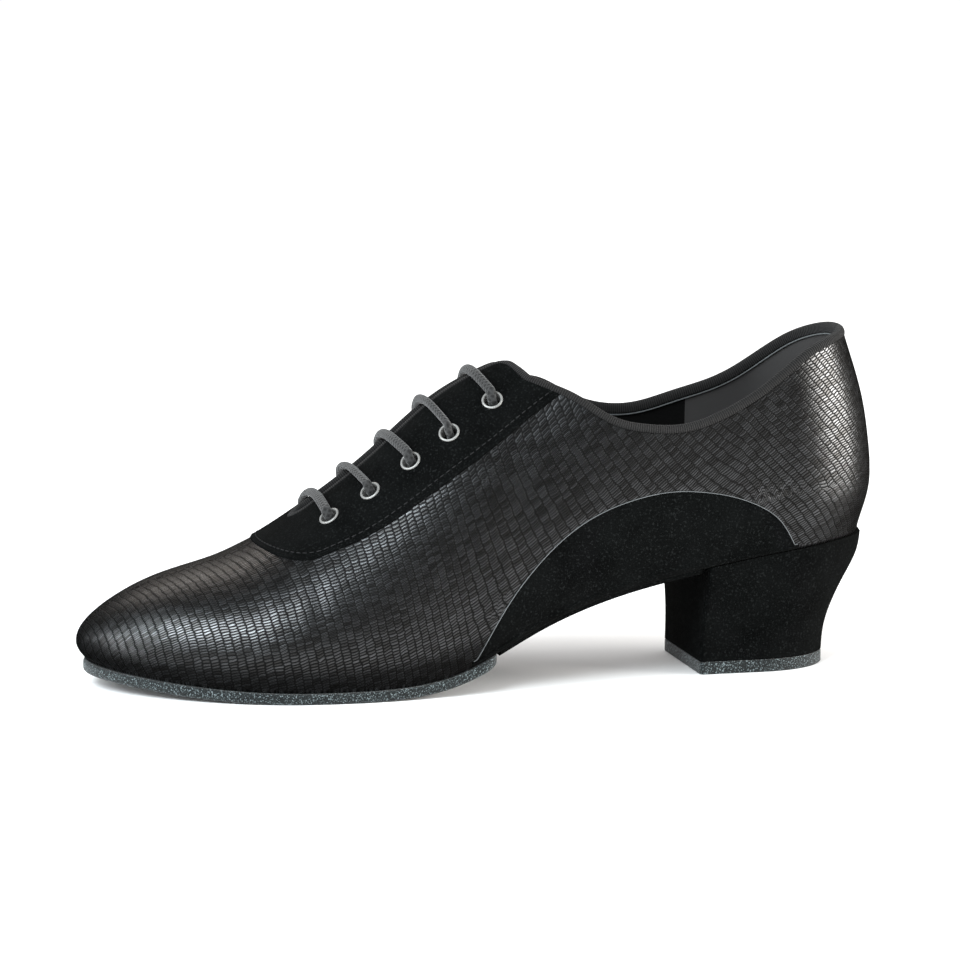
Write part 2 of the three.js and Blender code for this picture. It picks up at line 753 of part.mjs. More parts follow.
function heelRing(share, height) {
  const back = heel.back(share);
  const front = heel.front(share);
  const half = heel.half(share) * BALL_WIDTH;
  const round = heel.round(share);
  const place = (v, sign) => {
    const at = back + (front - back) * v;
    const y = sign * half * closing((round - (at - back)) / round, 2.1);
    return [LENGTH / 2 - at * LENGTH, y, height(at)];
  };
  const outer = HEEL_SPREAD.map((v) => place(v, -1));
  const inner = [...HEEL_SPREAD].reverse().map((v) => place(v, 1));
  return [...outer, place(0, 1), ...inner];
}

function makeHeel() {
  const low = TOP_PIECE + GAP;
  const rows = [...column(HEEL, HEEL_COLUMNS, "height")];
  return stack(rows.map((share) => heelRing(share, (at) => low + (seat(at) - 0.4 - low) * share)));
}

function makeTopPiece() {
  return stack([heelRing(0, () => 0), heelRing(0, () => TOP_PIECE)]);
}

const TONGUE_HALF = 0.2 * BALL_WIDTH;
const TONGUE_START = 0.472;
const TONGUE_TIP = 0.5;
const TONGUE_FLARE = 9;
const TONGUE_CLEAR = 0.9;
const TONGUE_THICK = 1.5;

// Tongue under the facings, a clearance below the inside of the wall.
function makeTongue() {
  const stations = [TONGUE_START, 0.484, 0.5, 0.55, 0.6, 0.65, 0.7, 0.735, 0.765];
  const half = (at) => TONGUE_HALF * Math.min(1, TONGUE_TIP + (at - TONGUE_START) * TONGUE_FLARE);
  return patch(
    stations,
    (at) => girthOfOffset(at, THROAT_MIDDLE - half(at)),
    (at) => girthOfOffset(at, THROAT_MIDDLE + half(at)),
    8,
    -WALL - TONGUE_CLEAR - TONGUE_THICK,
    -WALL - TONGUE_CLEAR,
  );
}

// Place, outward direction and direction towards the throat of an eyelet.
function eyeletSeat(at, which, distance) {
  const sign = which === "outer" ? -1 : 1;
  const girth = girthOfOffset(at, sign * distance * BALL_WIDTH);
  const ring = ringOf(at);
  const point = lastPoint(ring, girth);
  const normal = lastNormal(ring, girth);
  const inwards = lastPoint(ring, girth - sign * 0.05);
  const raw = minus(inwards, point);
  const lift = raw[0] * normal[0] + raw[1] * normal[1] + raw[2] * normal[2];
  return { girth, point, normal, towards: unit(plus(raw, normal, -lift)) };
}

// Solid of revolution about an eyelet's axis from pairs of radius and height.
function turned(place, profile, sides) {
  const other = cross(place.normal, place.towards);
  const rings = spread(0, sides - 1, sides - 1).map((k) => {
    const angle = 2 * Math.PI * k / sides;
    return profile.map(([radius, rise]) => plus(
      plus(plus(place.point, place.towards, radius * Math.cos(angle)), other, radius * Math.sin(angle)),
      place.normal,
      rise,
    ));
  });
  const triangles = [];
  const m = profile.length;
  for (let i = 0; i < sides; i += 1) {
    for (let k = 0; k < m; k += 1) {
      const a = i * m + k;
      const b = i * m + (k + 1) % m;
      const c = ((i + 1) % sides) * m + (k + 1) % m;
      const d = ((i + 1) % sides) * m + k;
      triangles.push([a, b, c], [a, c, d]);
    }
  }
  return solid(rings.flat(), triangles);
}

const FLANGE_BASE = EYESTAY_PROUD + GAP;
const FLANGE_TOP = FLANGE_BASE + FLANGE_THICK;
const BARREL_END = -WALL - 0.25;

function makeEyelet(place) {
  return turned(place, [
    [HOLE_RADIUS, BARREL_END],
    [BARREL_RADIUS, BARREL_END],
    [BARREL_RADIUS, FLANGE_BASE],
    [FLANGE_RADIUS, FLANGE_BASE],
    [FLANGE_RADIUS - 0.25, FLANGE_TOP],
    [HOLE_RADIUS, FLANGE_TOP],
  ], EYELET_SIDES);
}

// Bore for an eyelet's barrel through wall and facing panel.
function bore(place) {
  const end = (rise) => spread(0, EYELET_SIDES - 1, EYELET_SIDES - 1).map((k) => {
    const angle = 2 * Math.PI * k / EYELET_SIDES;
    const radius = BARREL_RADIUS + GAP + 0.1;
    const other = cross(place.normal, place.towards);
    const across = plus(plus(place.point, place.towards, radius * Math.cos(angle)), other,
      radius * Math.sin(angle));
    return plus(across, place.normal, rise);
  });
  return stack([end(-6), end(4)]);
}

// Lace bar from the mouth of one eyelet over the facings to the mouth of the other.
const BAR_LEAN = [0.001, 0.007, 0.0105, 0.0115, 0.0115];
const BAR_RISE = 2.85;
const BAR_BOW = 0.55;
const BAR_END = [[0, 0.9], [0.1, 1.9], [0.75, 3.05], [2.3, 3.5]];

function makeBar(at, lean, start, finish) {
  const nearEnd = (place) => BAR_END.map(([run, rise]) => (
    plus(plus(place.point, place.towards, run), place.normal, rise)
  ));
  const middle = [0.26, 0.4, 0.55, 0.7, 0.8].map((v) => {
    const girth = start.girth + (finish.girth - start.girth) * v;
    const ring = ringOf(at + lean * Math.sin(Math.PI * v));
    return lastOffset(ring, girth, BAR_RISE + BAR_BOW * (2 * v - 1.06) ** 2);
  });
  const path = [...nearEnd(start), ...middle, ...nearEnd(finish).reverse()];
  let side = cross(start.normal, start.towards);
  const rings = path.map((point, i) => {
    const along = unit(minus(path[Math.min(i + 1, path.length - 1)], path[Math.max(i - 1, 0)]));
    const other = unit(cross(along, side));
    side = unit(cross(other, along));
    return spread(0, LACE_SIDES - 1, LACE_SIDES - 1).map((k) => {
      const angle = 2 * Math.PI * (k + 0.5) / LACE_SIDES;
      return plus(plus(point, side, LACE_RADIUS * Math.cos(angle)), other, LACE_RADIUS * Math.sin(angle));
    });
  });
  return stack(rings);
}

const eyeletRows = EYELETS.map(([at, outer, inner]) => ({
  at,
  outer: eyeletSeat(at, "outer", outer),
  inner: eyeletSeat(at, "inner", inner),
}));
const bores = eyeletRows.flatMap((row) => [bore(row.outer), bore(row.inner)]);
const overOpening = opening();

let upper = makeUpper();
upper = upper.subtract(facingPanel(-EYESTAY_DEPTH - GAP, 4, GAP + 0.1, 7, 7));
upper = upper.subtract(archPanel("outer", -ARCH_DEPTH - GAP, 3, GAP + 0.2));
upper = upper.subtract(archPanel("inner", -ARCH_DEPTH - GAP, 3, GAP + 0.2));
let eyestay = facingPanel(-EYESTAY_DEPTH, EYESTAY_PROUD, 0, 7, 7).subtract(overOpening);
for (const hole of bores) {
  upper = upper.subtract(hole);
  eyestay = eyestay.subtract(hole);
}

const group = new THREE.Group();
const box = upper.boundingBox();
const middle = [(box.min[0] + box.max[0]) / 2, (box.min[1] + box.max[1]) / 2, 0];

function add(name, shape, color, roughness, metalness) {
  const mesh = shape.getMesh();
  const geometry = new THREE.BufferGeometry();
  const count = mesh.vertProperties.length / mesh.numProp;
  const place = new Float32Array(count * 3);
  for (let i = 0; i < count; i += 1) {
    for (let k = 0; k < 3; k += 1) {
      place[i * 3 + k] = mesh.vertProperties[i * mesh.numProp + k] - middle[k];
    }
  }
  geometry.setAttribute("position", new THREE.BufferAttribute(place, 3));
  geometry.setIndex(new THREE.BufferAttribute(new Uint32Array(mesh.triVerts), 1));
  geometry.computeVertexNormals();
  const material = new THREE.MeshStandardMaterial({ color, roughness, metalness });
  const node = new THREE.Mesh(geometry, material);
  node.name = name;
  group.add(node);
}

const BLACK_LEATHER = 0x1d1c1e;
const BLACK_SUEDE = 0x0d0d0e;
const TRIM = 0x2b2c2e;
const LINING = 0x232425;
const SOLE_SUEDE = 0x3a4447;
const LACE = 0x38393c;
const NICKEL = 0xb4b4b2;

add("upper", upper, BLACK_LEATHER, 0.35, 0);
add("outsole", makeOutsole(), SOLE_SUEDE, 0.95, 0);
add("insole", makeInsole(), LINING, 0.8, 0);
add("tongue", makeTongue(), BLACK_SUEDE, 0.9, 0);
add("eyestay", eyestay, BLACK_SUEDE, 0.95, 0);
add("arch_panel_outer", archPanel("outer", -ARCH_DEPTH, -0.05, 0), BLACK_SUEDE, 0.95, 0);
add("arch_panel_inner", archPanel("inner", -ARCH_DEPTH, -0.05, 0), BLACK_SUEDE, 0.95, 0);
add("collar_binding", makeBinding(), TRIM, 0.8, 0);
add("waist_cover", makeWaistCover(), BLACK_SUEDE, 0.95, 0);
add("heel", makeHeel(), BLACK_SUEDE, 0.95, 0);
add("heel_top_piece", makeTopPiece(), SOLE_SUEDE, 0.95, 0);
eyeletRows.forEach((row, i) => {
  add(`eyelet_outer_${i + 1}`, makeEyelet(row.outer), NICKEL, 0.3, 1);
  add(`eyelet_inner_${i + 1}`, makeEyelet(row.inner), NICKEL, 0.3, 1);
  add(`lace_bar_${i + 1}`, makeBar(row.at, BAR_LEAN[i], row.outer, row.inner), LACE, 0.9, 0);
});

export default group;
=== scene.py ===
import math
import bmesh
import bpy
import numpy as np
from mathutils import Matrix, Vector


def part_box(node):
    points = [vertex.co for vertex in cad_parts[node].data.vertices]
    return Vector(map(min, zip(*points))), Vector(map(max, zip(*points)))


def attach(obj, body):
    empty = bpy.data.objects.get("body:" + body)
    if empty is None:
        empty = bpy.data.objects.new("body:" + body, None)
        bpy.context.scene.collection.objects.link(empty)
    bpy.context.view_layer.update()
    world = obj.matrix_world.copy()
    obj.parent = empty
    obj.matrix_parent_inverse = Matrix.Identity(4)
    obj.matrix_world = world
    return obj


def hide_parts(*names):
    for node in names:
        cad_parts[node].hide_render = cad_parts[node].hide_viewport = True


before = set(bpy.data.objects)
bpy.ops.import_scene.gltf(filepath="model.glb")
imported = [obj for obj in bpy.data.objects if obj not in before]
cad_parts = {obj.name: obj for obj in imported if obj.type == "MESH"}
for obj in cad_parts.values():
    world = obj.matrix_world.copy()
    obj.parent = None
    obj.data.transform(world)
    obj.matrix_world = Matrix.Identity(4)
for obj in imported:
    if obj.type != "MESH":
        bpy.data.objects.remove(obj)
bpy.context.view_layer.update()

# Named sizes of the left shoe in millimetres, the same as the solids are made from.
MM = 0.001
LENGTH = 250.0
BALL_WIDTH = 86.0
HEEL_HEIGHT = 42.0
INSTEP_HEIGHT = 96.0
BACK_HEIGHT = 62.0
WALL = 2.2
GAP = 0.3
SOLE_THICK = 3.3
MARGIN = 8.0

HEEL_ROUND = 0.13
TOE_ROUND = 0.27
TOE_DROP = 0.17
BACK_FADE = 0.26
TOE_FADE = 0.2
TOE_UNDERCUT = 3.6
BACK_POWER = 1.5

# at, centre, footLat, footMed, bulgeLat, bulgeMed, under, bulge, turn, ridge, crownLat, crownMed, side
SECTIONS = np.array([
    [0.00, 0.000, 0.315, 0.305, 0.345, 0.335, 1.000, 0.210, 0.014, 1.460, 2.0, 2.0, 2.2],
    [0.06, 0.000, 0.318, 0.308, 0.347, 0.337, 0.985, 0.210, 0.014, 1.460, 2.0, 2.0, 2.2],
    [0.12, 0.000, 0.320, 0.310, 0.350, 0.340, 0.945, 0.210, 0.014, 1.460, 2.0, 2.0, 2.2],
    [0.24, -0.005, 0.320, 0.300, 0.355, 0.345, 0.825, 0.200, 0.034, 1.360, 2.0, 2.0, 2.2],
    [0.36, -0.015, 0.325, 0.285, 0.370, 0.365, 0.665, 0.180, 0.042, 1.180, 2.0, 2.0, 2.1],
    [0.46, -0.015, 0.350, 0.295, 0.395, 0.385, 0.440, 0.160, 0.038, 1.038, 1.9, 2.0, 2.1],
    [0.56, -0.005, 0.400, 0.350, 0.440, 0.415, 0.165, 0.150, 0.018, 0.900, 1.9, 2.0, 2.1],
    [0.64, 0.010, 0.445, 0.410, 0.475, 0.445, 0.092, 0.130, 0.012, 0.715, 2.0, 2.0, 2.1],
    [0.70, 0.025, 0.465, 0.450, 0.490, 0.475, 0.0845, 0.120, 0.012, 0.5915, 2.0, 2.0, 2.1],
    [0.76, 0.040, 0.465, 0.465, 0.487, 0.485, 0.0845, 0.110, 0.012, 0.479, 2.1, 2.1, 2.2],
    [0.82, 0.052, 0.445, 0.460, 0.465, 0.478, 0.094, 0.095, 0.012, 0.398, 2.2, 2.2, 2.2],
    [0.90, 0.062, 0.400, 0.440, 0.420, 0.455, 0.125, 0.080, 0.012, 0.350, 2.3, 2.3, 2.2],
    [1.00, 0.068, 0.340, 0.400, 0.360, 0.415, 0.190, 0.065, 0.012, 0.294, 2.3, 2.3, 2.2],
])
SECTION_NAMES = [
    "centre", "footLat", "footMed", "bulgeLat", "bulgeMed", "under", "bulge", "turn", "ridge",
    "crownLat", "crownMed", "side",
]

# height, lean
BACK = np.array([
    [-0.30, 1.0], [0.00, 4.0], [0.20, 0.6], [0.45, 0.7], [0.70, 3.4], [1.00, 9.4], [1.30, 14.4],
])

# at, outer, inner
COLLAR = np.array([
    [0.00, 1.084, 1.084], [0.05, 1.066, 1.032], [0.10, 1.024, 0.959], [0.16, 0.930, 0.882],
    [0.22, 0.849, 0.837], [0.27, 0.809, 0.803], [0.32, 0.811, 0.805], [0.37, 0.846, 0.852],
    [0.41, 0.913, 0.908], [0.44, 0.948, 0.926], [0.47, 0.978, 0.948], [0.50, 1.002, 0.976],
])
COLLAR_END = 0.5
CORNER_RUN = 0.035
CORNER_PUSH = 12
CORNER_SOFTNESS = 14

THROAT_MIDDLE = 0.035 * BALL_WIDTH
THROAT_HALF = 0.066 * BALL_WIDTH
THROAT_FRONT = 0.738
THROAT_ROUND = THROAT_HALF / LENGTH

# at, outer, inner
EYESTAY = np.array([
    [0.42, 0.240, 0.250], [0.46, 0.258, 0.272], [0.50, 0.284, 0.300], [0.56, 0.318, 0.335],
    [0.62, 0.339, 0.355], [0.68, 0.345, 0.358], [0.73, 0.332, 0.345], [0.79, 0.325, 0.335],
])
EYESTAY_BACK = 0.425
EYESTAY_FRONT = 0.782
EYESTAY_ROUND = 0.06
EYESTAY_PROUD = 0.5

# at, height
ARCH = np.array([
    [0.114, 0.400], [0.144, 0.505], [0.172, 0.558], [0.204, 0.592], [0.248, 0.616], [0.290, 0.622],
    [0.345, 0.598], [0.412, 0.522], [0.471, 0.387], [0.516, 0.226], [0.546, 0.075],
])
ARCH_BACK = 0.116
ARCH_FRONT = 0.5445

# at, outer, inner
EYELETS = [
    [0.7025, 0.197, 0.262], [0.6539, 0.213, 0.270], [0.6053, 0.218, 0.272],
    [0.5580, 0.214, 0.268], [0.5025, 0.183, 0.245],
]

# height, back, front, half, round
HEEL = np.array([
    [0.00, 0.0575, 0.2380, 0.232, 0.100], [0.20, 0.0545, 0.2375, 0.234, 0.104],
    [0.42, 0.0435, 0.2370, 0.245, 0.112], [0.64, 0.0275, 0.2365, 0.270, 0.120],
    [0.84, 0.0135, 0.2360, 0.296, 0.127], [1.00, 0.0100, 0.2360, 0.312, 0.130],
])
TOP_PIECE = 4.0

# The frame's origin is the middle of the box; the heel's top piece is centred on the heel's own line.
top_low, top_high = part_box("heel_top_piece")
MIDDLE = np.array([
    LENGTH / 2 - HEEL[0, 1] * LENGTH - top_high[0] / MM,
    -(top_low[1] + top_high[1]) / 2 / MM,
    0.0,
])


def curve(table, k):
    """Natural cubic through column k of a table against its first column."""
    xs = table[:, 0]
    ys = table[:, k]
    n = len(xs)
    h = np.diff(xs)
    system = np.eye(n)
    right = np.zeros(n)
    for i in range(1, n - 1):
        system[i, i - 1:i + 2] = [h[i - 1], 2 * (h[i - 1] + h[i]), h[i]]
        right[i] = 6 * ((ys[i + 1] - ys[i]) / h[i] - (ys[i] - ys[i - 1]) / h[i - 1])
    bend = np.linalg.solve(system, right)

    def at(value):
        x = np.clip(value, xs[0], xs[-1])
        j = np.clip(np.searchsorted(xs, x, side="left") - 1, 0, n - 2)
        wide = h[j]
        p = (xs[j + 1] - x) / wide
        q = (x - xs[j]) / wide
        sag = ((p ** 3 - p) * bend[j] + (q ** 3 - q) * bend[j + 1]) * wide * wide / 6
        return p * ys[j] + q * ys[j + 1] + sag

    return at


section = {name: curve(SECTIONS, k + 1) for k, name in enumerate(SECTION_NAMES)}
back_line = curve(BACK, 1)
collar = {"outer": curve(COLLAR, 1), "inner": curve(COLLAR, 2)}
eyestay_half = {"outer": curve(EYESTAY, 1), "inner": curve(EYESTAY, 2)}
arch_top = curve(ARCH, 1)
heel = {name: curve(HEEL, k + 1) for k, name in enumerate(["back", "front", "half", "round"])}


def closing(share, power):
    return np.sqrt(np.maximum(0, 1 - np.clip(share, 0, 1) ** power))


def sizes(at):
    heel_end = closing((HEEL_ROUND - at) / HEEL_ROUND, 2.1)
    toe_end = closing((at - 1 + TOE_ROUND) / TOE_ROUND, 2.3)
    toe_drop = closing((at - 1 + TOE_DROP) / TOE_DROP, 2.3)
    width = BALL_WIDTH * heel_end * toe_end
    s = {name: section[name](at) for name in SECTION_NAMES}
    under = s["under"] * HEEL_HEIGHT
    bulge = under + s["bulge"] * BALL_WIDTH
    return {
        "centre": s["centre"] * BALL_WIDTH,
        "foot": (s["footLat"] * width, s["footMed"] * width),
        "half": (s["bulgeLat"] * width, s["bulgeMed"] * width),
        "crown": (s["crownLat"], s["crownMed"]),
        "side": s["side"],
        "under": under,
        "bulge": bulge,
        "turn": s["turn"] * BALL_WIDTH,
        "ridge": bulge + (s["ridge"] * INSTEP_HEIGHT - bulge) * toe_drop,
    }


def lengthwise(at, z, drop):
    fade = np.maximum(0, 1 - at / BACK_FADE) ** BACK_POWER
    toe = np.maximum(0, (at - 1 + TOE_FADE) / TOE_FADE) ** BACK_POWER
    lean = back_line((z - HEEL_HEIGHT) / BACK_HEIGHT) * fade
    return LENGTH / 2 - at * LENGTH - lean + TOE_UNDERCUT * drop * drop * toe


def wrap(ring):
    return np.where(ring > 1, ring - 2, np.where(ring < -1, ring + 2, ring))


def share_of(ring):
    return (1 - np.cos(math.pi * np.abs(ring))) / 2


def ring_of(at):
    return np.arccos(np.clip(1 - 2 * np.asarray(at, float), -1, 1)) / math.pi


def drop_of_turn(s):
    return 1 - s["turn"] / (s["bulge"] - s["under"])


def lower_point(ring, drop):
    at = share_of(ring)
    s = sizes(at)
    outer = ring >= 0
    sign = np.where(outer, -1.0, 1.0)
    half_bulge = np.where(outer, s["half"][0], s["half"][1])
    half_foot = np.where(outer, s["foot"][0], s["foot"][1])
    half = half_bulge - (half_bulge - half_foot) * drop * drop
    z = s["bulge"] - drop * (s["bulge"] - s["under"])
    return np.stack([lengthwise(at, z, drop), s["centre"] + sign * half, z], -1)


def foot_line(ring, inward):
    step = 1e-3
    drop = drop_of_turn(sizes(share_of(ring)))
    p = lower_point(ring, drop)
    a = lower_point(wrap(ring - step), drop)
    b = lower_point(wrap(ring + step), drop)
    along = np.hypot(b[..., 0] - a[..., 0], b[..., 1] - a[..., 1])
    x = p[..., 0] + (b[..., 1] - a[..., 1]) / along * inward
    y = p[..., 1] - (b[..., 0] - a[..., 0]) / along * inward
    return x, y


def seat(at):
    return section["under"](at) * HEEL_HEIGHT


def seat_under(x):
    return seat((LENGTH / 2 - x) / LENGTH)


def level_at(ring, x):
    return seat(share_of(ring)) + seat_under(x) - seat_under(foot_line(ring, 0.0)[0])


def last_point(ring, girth):
    """Girth 0 is under the foot edge, 1 above its turn, 2 at the bulge, 3 at the crest."""
    ring, girth = np.broadcast_arrays(np.asarray(ring, float), np.asarray(girth, float))
    over = girth > 3
    ring = np.where(over, -ring, ring)
    g = np.where(over, 6 - girth, girth)
    at = share_of(ring)
    s = sizes(at)
    outer = ring >= 0
    sign = np.where(outer, -1.0, 1.0)
    angle = np.clip(g - 2, 0, 1) * math.pi / 2
    crown = np.where(outer, s["crown"][0], s["crown"][1])
    half = np.where(outer, s["half"][0], s["half"][1])
    across = np.maximum(0, np.cos(angle)) ** (2 / crown)
    z = s["bulge"] + np.sin(angle) ** (2 / s["side"]) * (s["ridge"] - s["bulge"])
    upper = np.stack([lengthwise(at, z, 0.0), s["centre"] + sign * half * across, z], -1)
    turned = drop_of_turn(s)
    middle = lower_point(ring, (2 - np.clip(g, 1, 2)) * turned)
    low = (1 - np.clip(g, 0, 1)) * math.pi / 2
    x, y = foot_line(ring, s["turn"] * (1 - np.cos(low)))
    lower = np.stack([x, y, level_at(ring, x) + s["turn"] * (1 - np.sin(low))], -1)
    pick = g[..., None]
    return np.where(pick >= 2, upper, np.where(pick >= 1, middle, lower))


def unit(v):
    return v / np.maximum(np.linalg.norm(v, axis=-1, keepdims=True), 1e-12)


def last_normal(ring, girth):
    ring, girth = np.broadcast_arrays(np.asarray(ring, float), np.asarray(girth, float))
    over = girth > 3
    ring = np.where(over, -ring, ring)
    g = np.where(over, 6 - girth, girth)
    step = 2e-3
    q = np.where(np.abs(ring) > 0.999, np.minimum(g, 2), g)
    low = np.where(q > 2, np.maximum(q - step, 2), q - step)
    along = last_point(wrap(ring + step), q) - last_point(wrap(ring - step), q)
    up = last_point(ring, q + step) - last_point(ring, low)
    n = unit(np.cross(up, along))
    return np.where((g <= 0)[..., None], np.array([0.0, 0.0, -1.0]), n)


def last_offset(ring, girth, outward):
    return last_point(ring, girth) + last_normal(ring, girth) * np.asarray(outward, float)[..., None]


def girth_of_height(ring, z):
    s = sizes(share_of(ring))
    rise = np.clip((z - s["bulge"]) / (s["ridge"] - s["bulge"]), 0, 1)
    high = 2 + np.arcsin(rise ** (s["side"] / 2)) * 2 / math.pi
    drop = (s["bulge"] - z) / (s["bulge"] - s["under"])
    turned = drop_of_turn(s)
    sine = np.clip((s["under"] + s["turn"] - z) / s["turn"], 0, 1)
    low = np.where(drop <= turned, 2 - drop / turned, 1 - np.arcsin(sine) * 2 / math.pi)
    return np.where(z >= s["bulge"], high, low)


def girth_of_offset(at, offset):
    s = sizes(at)
    outer = offset < 0
    half = np.where(outer, s["half"][0], s["half"][1])
    crown = np.where(outer, s["crown"][0], s["crown"][1])
    share = np.clip(np.abs(offset) / np.maximum(half, 1e-6), 0, 1)
    girth = 2 + np.arccos(share ** (crown / 2)) * 2 / math.pi
    return np.where(outer, girth, 6 - girth)


def soft_lower(a, b):
    return -np.log(np.exp(-CORNER_SOFTNESS * a) + np.exp(-CORNER_SOFTNESS * b)) / CORNER_SOFTNESS


def top_girth(at, which):
    """Top of the wall on one side, as a girth counted from that side's own foot."""
    at = np.asarray(at, float)
    ring = ring_of(at) if which == "outer" else -ring_of(at)
    sign = -1 if which == "outer" else 1
    front = np.clip((at - THROAT_FRONT + THROAT_ROUND) / THROAT_ROUND, 0, 1)
    half = THROAT_HALF * np.sqrt(np.maximum(0, 1 - front * front))
    facing = girth_of_offset(at, THROAT_MIDDLE + sign * half)
    facing = facing if which == "outer" else 6 - facing
    side = girth_of_height(ring, collar[which](at) * INSTEP_HEIGHT)
    beyond = np.maximum(0, at - COLLAR_END + CORNER_RUN) * CORNER_PUSH
    corner = soft_lower(side + beyond, facing)
    top = np.where(at < COLLAR_END - 0.15, side, corner)
    top = np.where(at > COLLAR_END + 0.02, facing, top)
    seam = girth_of_offset(at, THROAT_MIDDLE)
    seam = seam if which == "outer" else 6 - seam
    return np.where(at >= THROAT_FRONT, seam, top)


# Places of the eyelets
RING_OUT = 3.3
RING_HOLE = 2.55
HOLE_EDGE = RING_HOLE + 0.2
LACE_RADIUS = 1.58
LACE_FLAT = 1.15


def eyelet_seat(at, which, distance):
    sign = -1 if which == "outer" else 1
    girth = float(girth_of_offset(np.float64(at), np.float64(sign * distance * BALL_WIDTH)))
    ring = float(ring_of(at))
    point = last_point(ring, girth)
    normal = last_normal(ring, girth)
    raw = last_point(ring, girth - sign * 0.05) - point
    towards = unit(raw - normal * (raw @ normal))
    return {"girth": girth, "point": point, "normal": normal, "towards": towards}


SEATS = [(row[0], eyelet_seat(row[0], "outer", row[1]), eyelet_seat(row[0], "inner", row[2])) for row in EYELETS]


# Meshes
def weld(points, faces, loops=None, mats=None):
    """Joins points that fall together and drops the faces that this closes up."""
    keys = np.round(points * 2000).astype(np.int64)
    unused, first, inverse = np.unique(keys, axis=0, return_index=True, return_inverse=True)
    inverse = inverse.reshape(-1)
    out_faces = []
    out_loops = []
    out_mats = []
    for i, face in enumerate(faces):
        ids = [int(inverse[v]) for v in face]
        keep = [k for k in range(len(ids)) if ids[k] != ids[k - 1]]
        if len(keep) < 3 or len(set(ids[k] for k in keep)) < len(keep):
            continue
        out_faces.append([ids[k] for k in keep])
        if loops is not None:
            out_loops.extend(loops[i][k] for k in keep)
        out_mats.append(0 if mats is None else mats[i])
    return points[first], out_faces, out_loops, out_mats


def open_holes(points, faces, loops, mats):
    """Drops the faces inside the eyelets' barrels and rounds the edge that is left."""
    place = points[:, :3].copy()
    centres = np.array([place[face].mean(0) for face in faces])
    drop = np.zeros(len(faces), bool)
    for unused, one, two in SEATS:
        for spot in (one, two):
            def reach(p):
                away = p - spot["point"]
                high = away @ spot["normal"]
                flat = away - high[:, None] * spot["normal"]
                return flat, np.linalg.norm(flat, axis=1), np.abs(high) < 5
            unused_flat, far, near = reach(centres)
            drop |= near & (far < HOLE_EDGE)
            flat, far, near = reach(place)
            pull = near & (far < HOLE_EDGE) & (far > 1e-6)
            place[pull] += flat[pull] * (HOLE_EDGE / far[pull] - 1)[:, None]
    keep = np.flatnonzero(~drop)
    points = np.concatenate([place, points[:, 3:]], 1)
    faces = [faces[i] for i in keep]
    loops = None if loops is None else [loops[i] for i in keep]
    mats = None if mats is None else [mats[i] for i in keep]
    used = np.unique(np.concatenate([np.array(face) for face in faces]))
    renumber = np.full(len(points), -1)
    renumber[used] = np.arange(len(used))
    return points[used], [[int(renumber[v]) for v in face] for face in faces], loops, mats


def face_outward(mesh):
    """Turns the faces of each closed surface of a mesh outward."""
    turned = bmesh.new()
    turned.from_mesh(mesh)
    bmesh.ops.recalc_face_normals(turned, faces=turned.faces)
    turned.to_mesh(mesh)
    turned.free()


def build(name, points, faces, materials, loops=None, mats=None, sharp=40, replaces=(), edge=None):
    """Makes one smooth mesh piece from millimetre points, with uv per face corner."""
    if edge is not None:
        points = np.concatenate([points, edge[:, None]], 1)
    place, faces, loop_uv, face_mats = weld(points, faces, loops, mats)
    mesh = bpy.data.meshes.new(name)
    shifted = (place[:, :3] - MIDDLE) * MM
    mesh.from_pydata(shifted.tolist(), [], faces)
    if loop_uv:
        layer = mesh.uv_layers.new(name="grain")
        layer.data.foreach_set("uv", np.asarray(loop_uv, float).ravel())
    if edge is not None:
        attribute = mesh.attributes.new("edge", "FLOAT", "POINT")
        attribute.data.foreach_set("value", place[:, 3])
    for material in materials:
        mesh.materials.append(material)
    mesh.polygons.foreach_set("material_index", face_mats)
    mesh.polygons.foreach_set("use_smooth", [True] * len(mesh.polygons))
    face_outward(mesh)
    mesh.set_sharp_from_angle(angle=math.radians(sharp))
    mesh.update()
    piece = bpy.data.objects.new(name, mesh)
    bpy.context.scene.collection.objects.link(piece)
    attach(piece, "root")
    if replaces:
        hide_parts(*replaces)
    return piece


def lattice(rows, cols, start=0, flip=False, row_ring=False, col_ring=False):
    """Quads over a grid whose point (i, j) has the number start + i * cols + j."""
    faces = []
    for i in range(rows if row_ring else rows - 1):
        for j in range(cols if col_ring else cols - 1):
            a = start + i * cols + j
            b = start + ((i + 1) % rows) * cols + j
            c = start + ((i + 1) % rows) * cols + (j + 1) % cols
            d = start + i * cols + (j + 1) % cols
            faces.append([a, d, c, b] if flip else [a, b, c, d])
    return faces


def grid_uv(faces, uv):
    flat = uv.reshape(-1, 2)
    return [[tuple(flat[v]) for v in face] for face in faces]


def closed_sheet(name, outer, inner, materials, replaces=(), flip=False, sharp=40, edge=None):
    """Closed slab between two equal grids of points."""
    rows, cols = outer.shape[:2]
    size = rows * cols
    points = np.concatenate([outer.reshape(-1, 3), inner.reshape(-1, 3)])
    faces = lattice(rows, cols, 0, flip) + lattice(rows, cols, size, not flip)
    rim = []
    border = [(0, j) for j in range(cols)] + [(i, cols - 1) for i in range(1, rows)]
    border += [(rows - 1, j) for j in range(cols - 2, -1, -1)] + [(i, 0) for i in range(rows - 2, 0, -1)]
    for (i, j), (k, m) in zip(border, border[1:] + border[:1]):
        a = i * cols + j
        b = k * cols + m
        rim.append([a, size + a, size + b, b] if not flip else [b, size + b, size + a, a])
    faces += rim
    uv = arc_uv(outer)
    both = np.concatenate([uv.reshape(-1, 2), uv.reshape(-1, 2)])
    loops = [[tuple(both[v]) for v in face] for face in faces]
    far = None if edge is None else np.concatenate([edge.ravel(), edge.ravel()])
    return build(name, points, faces, materials, loops, None, sharp, replaces, far)


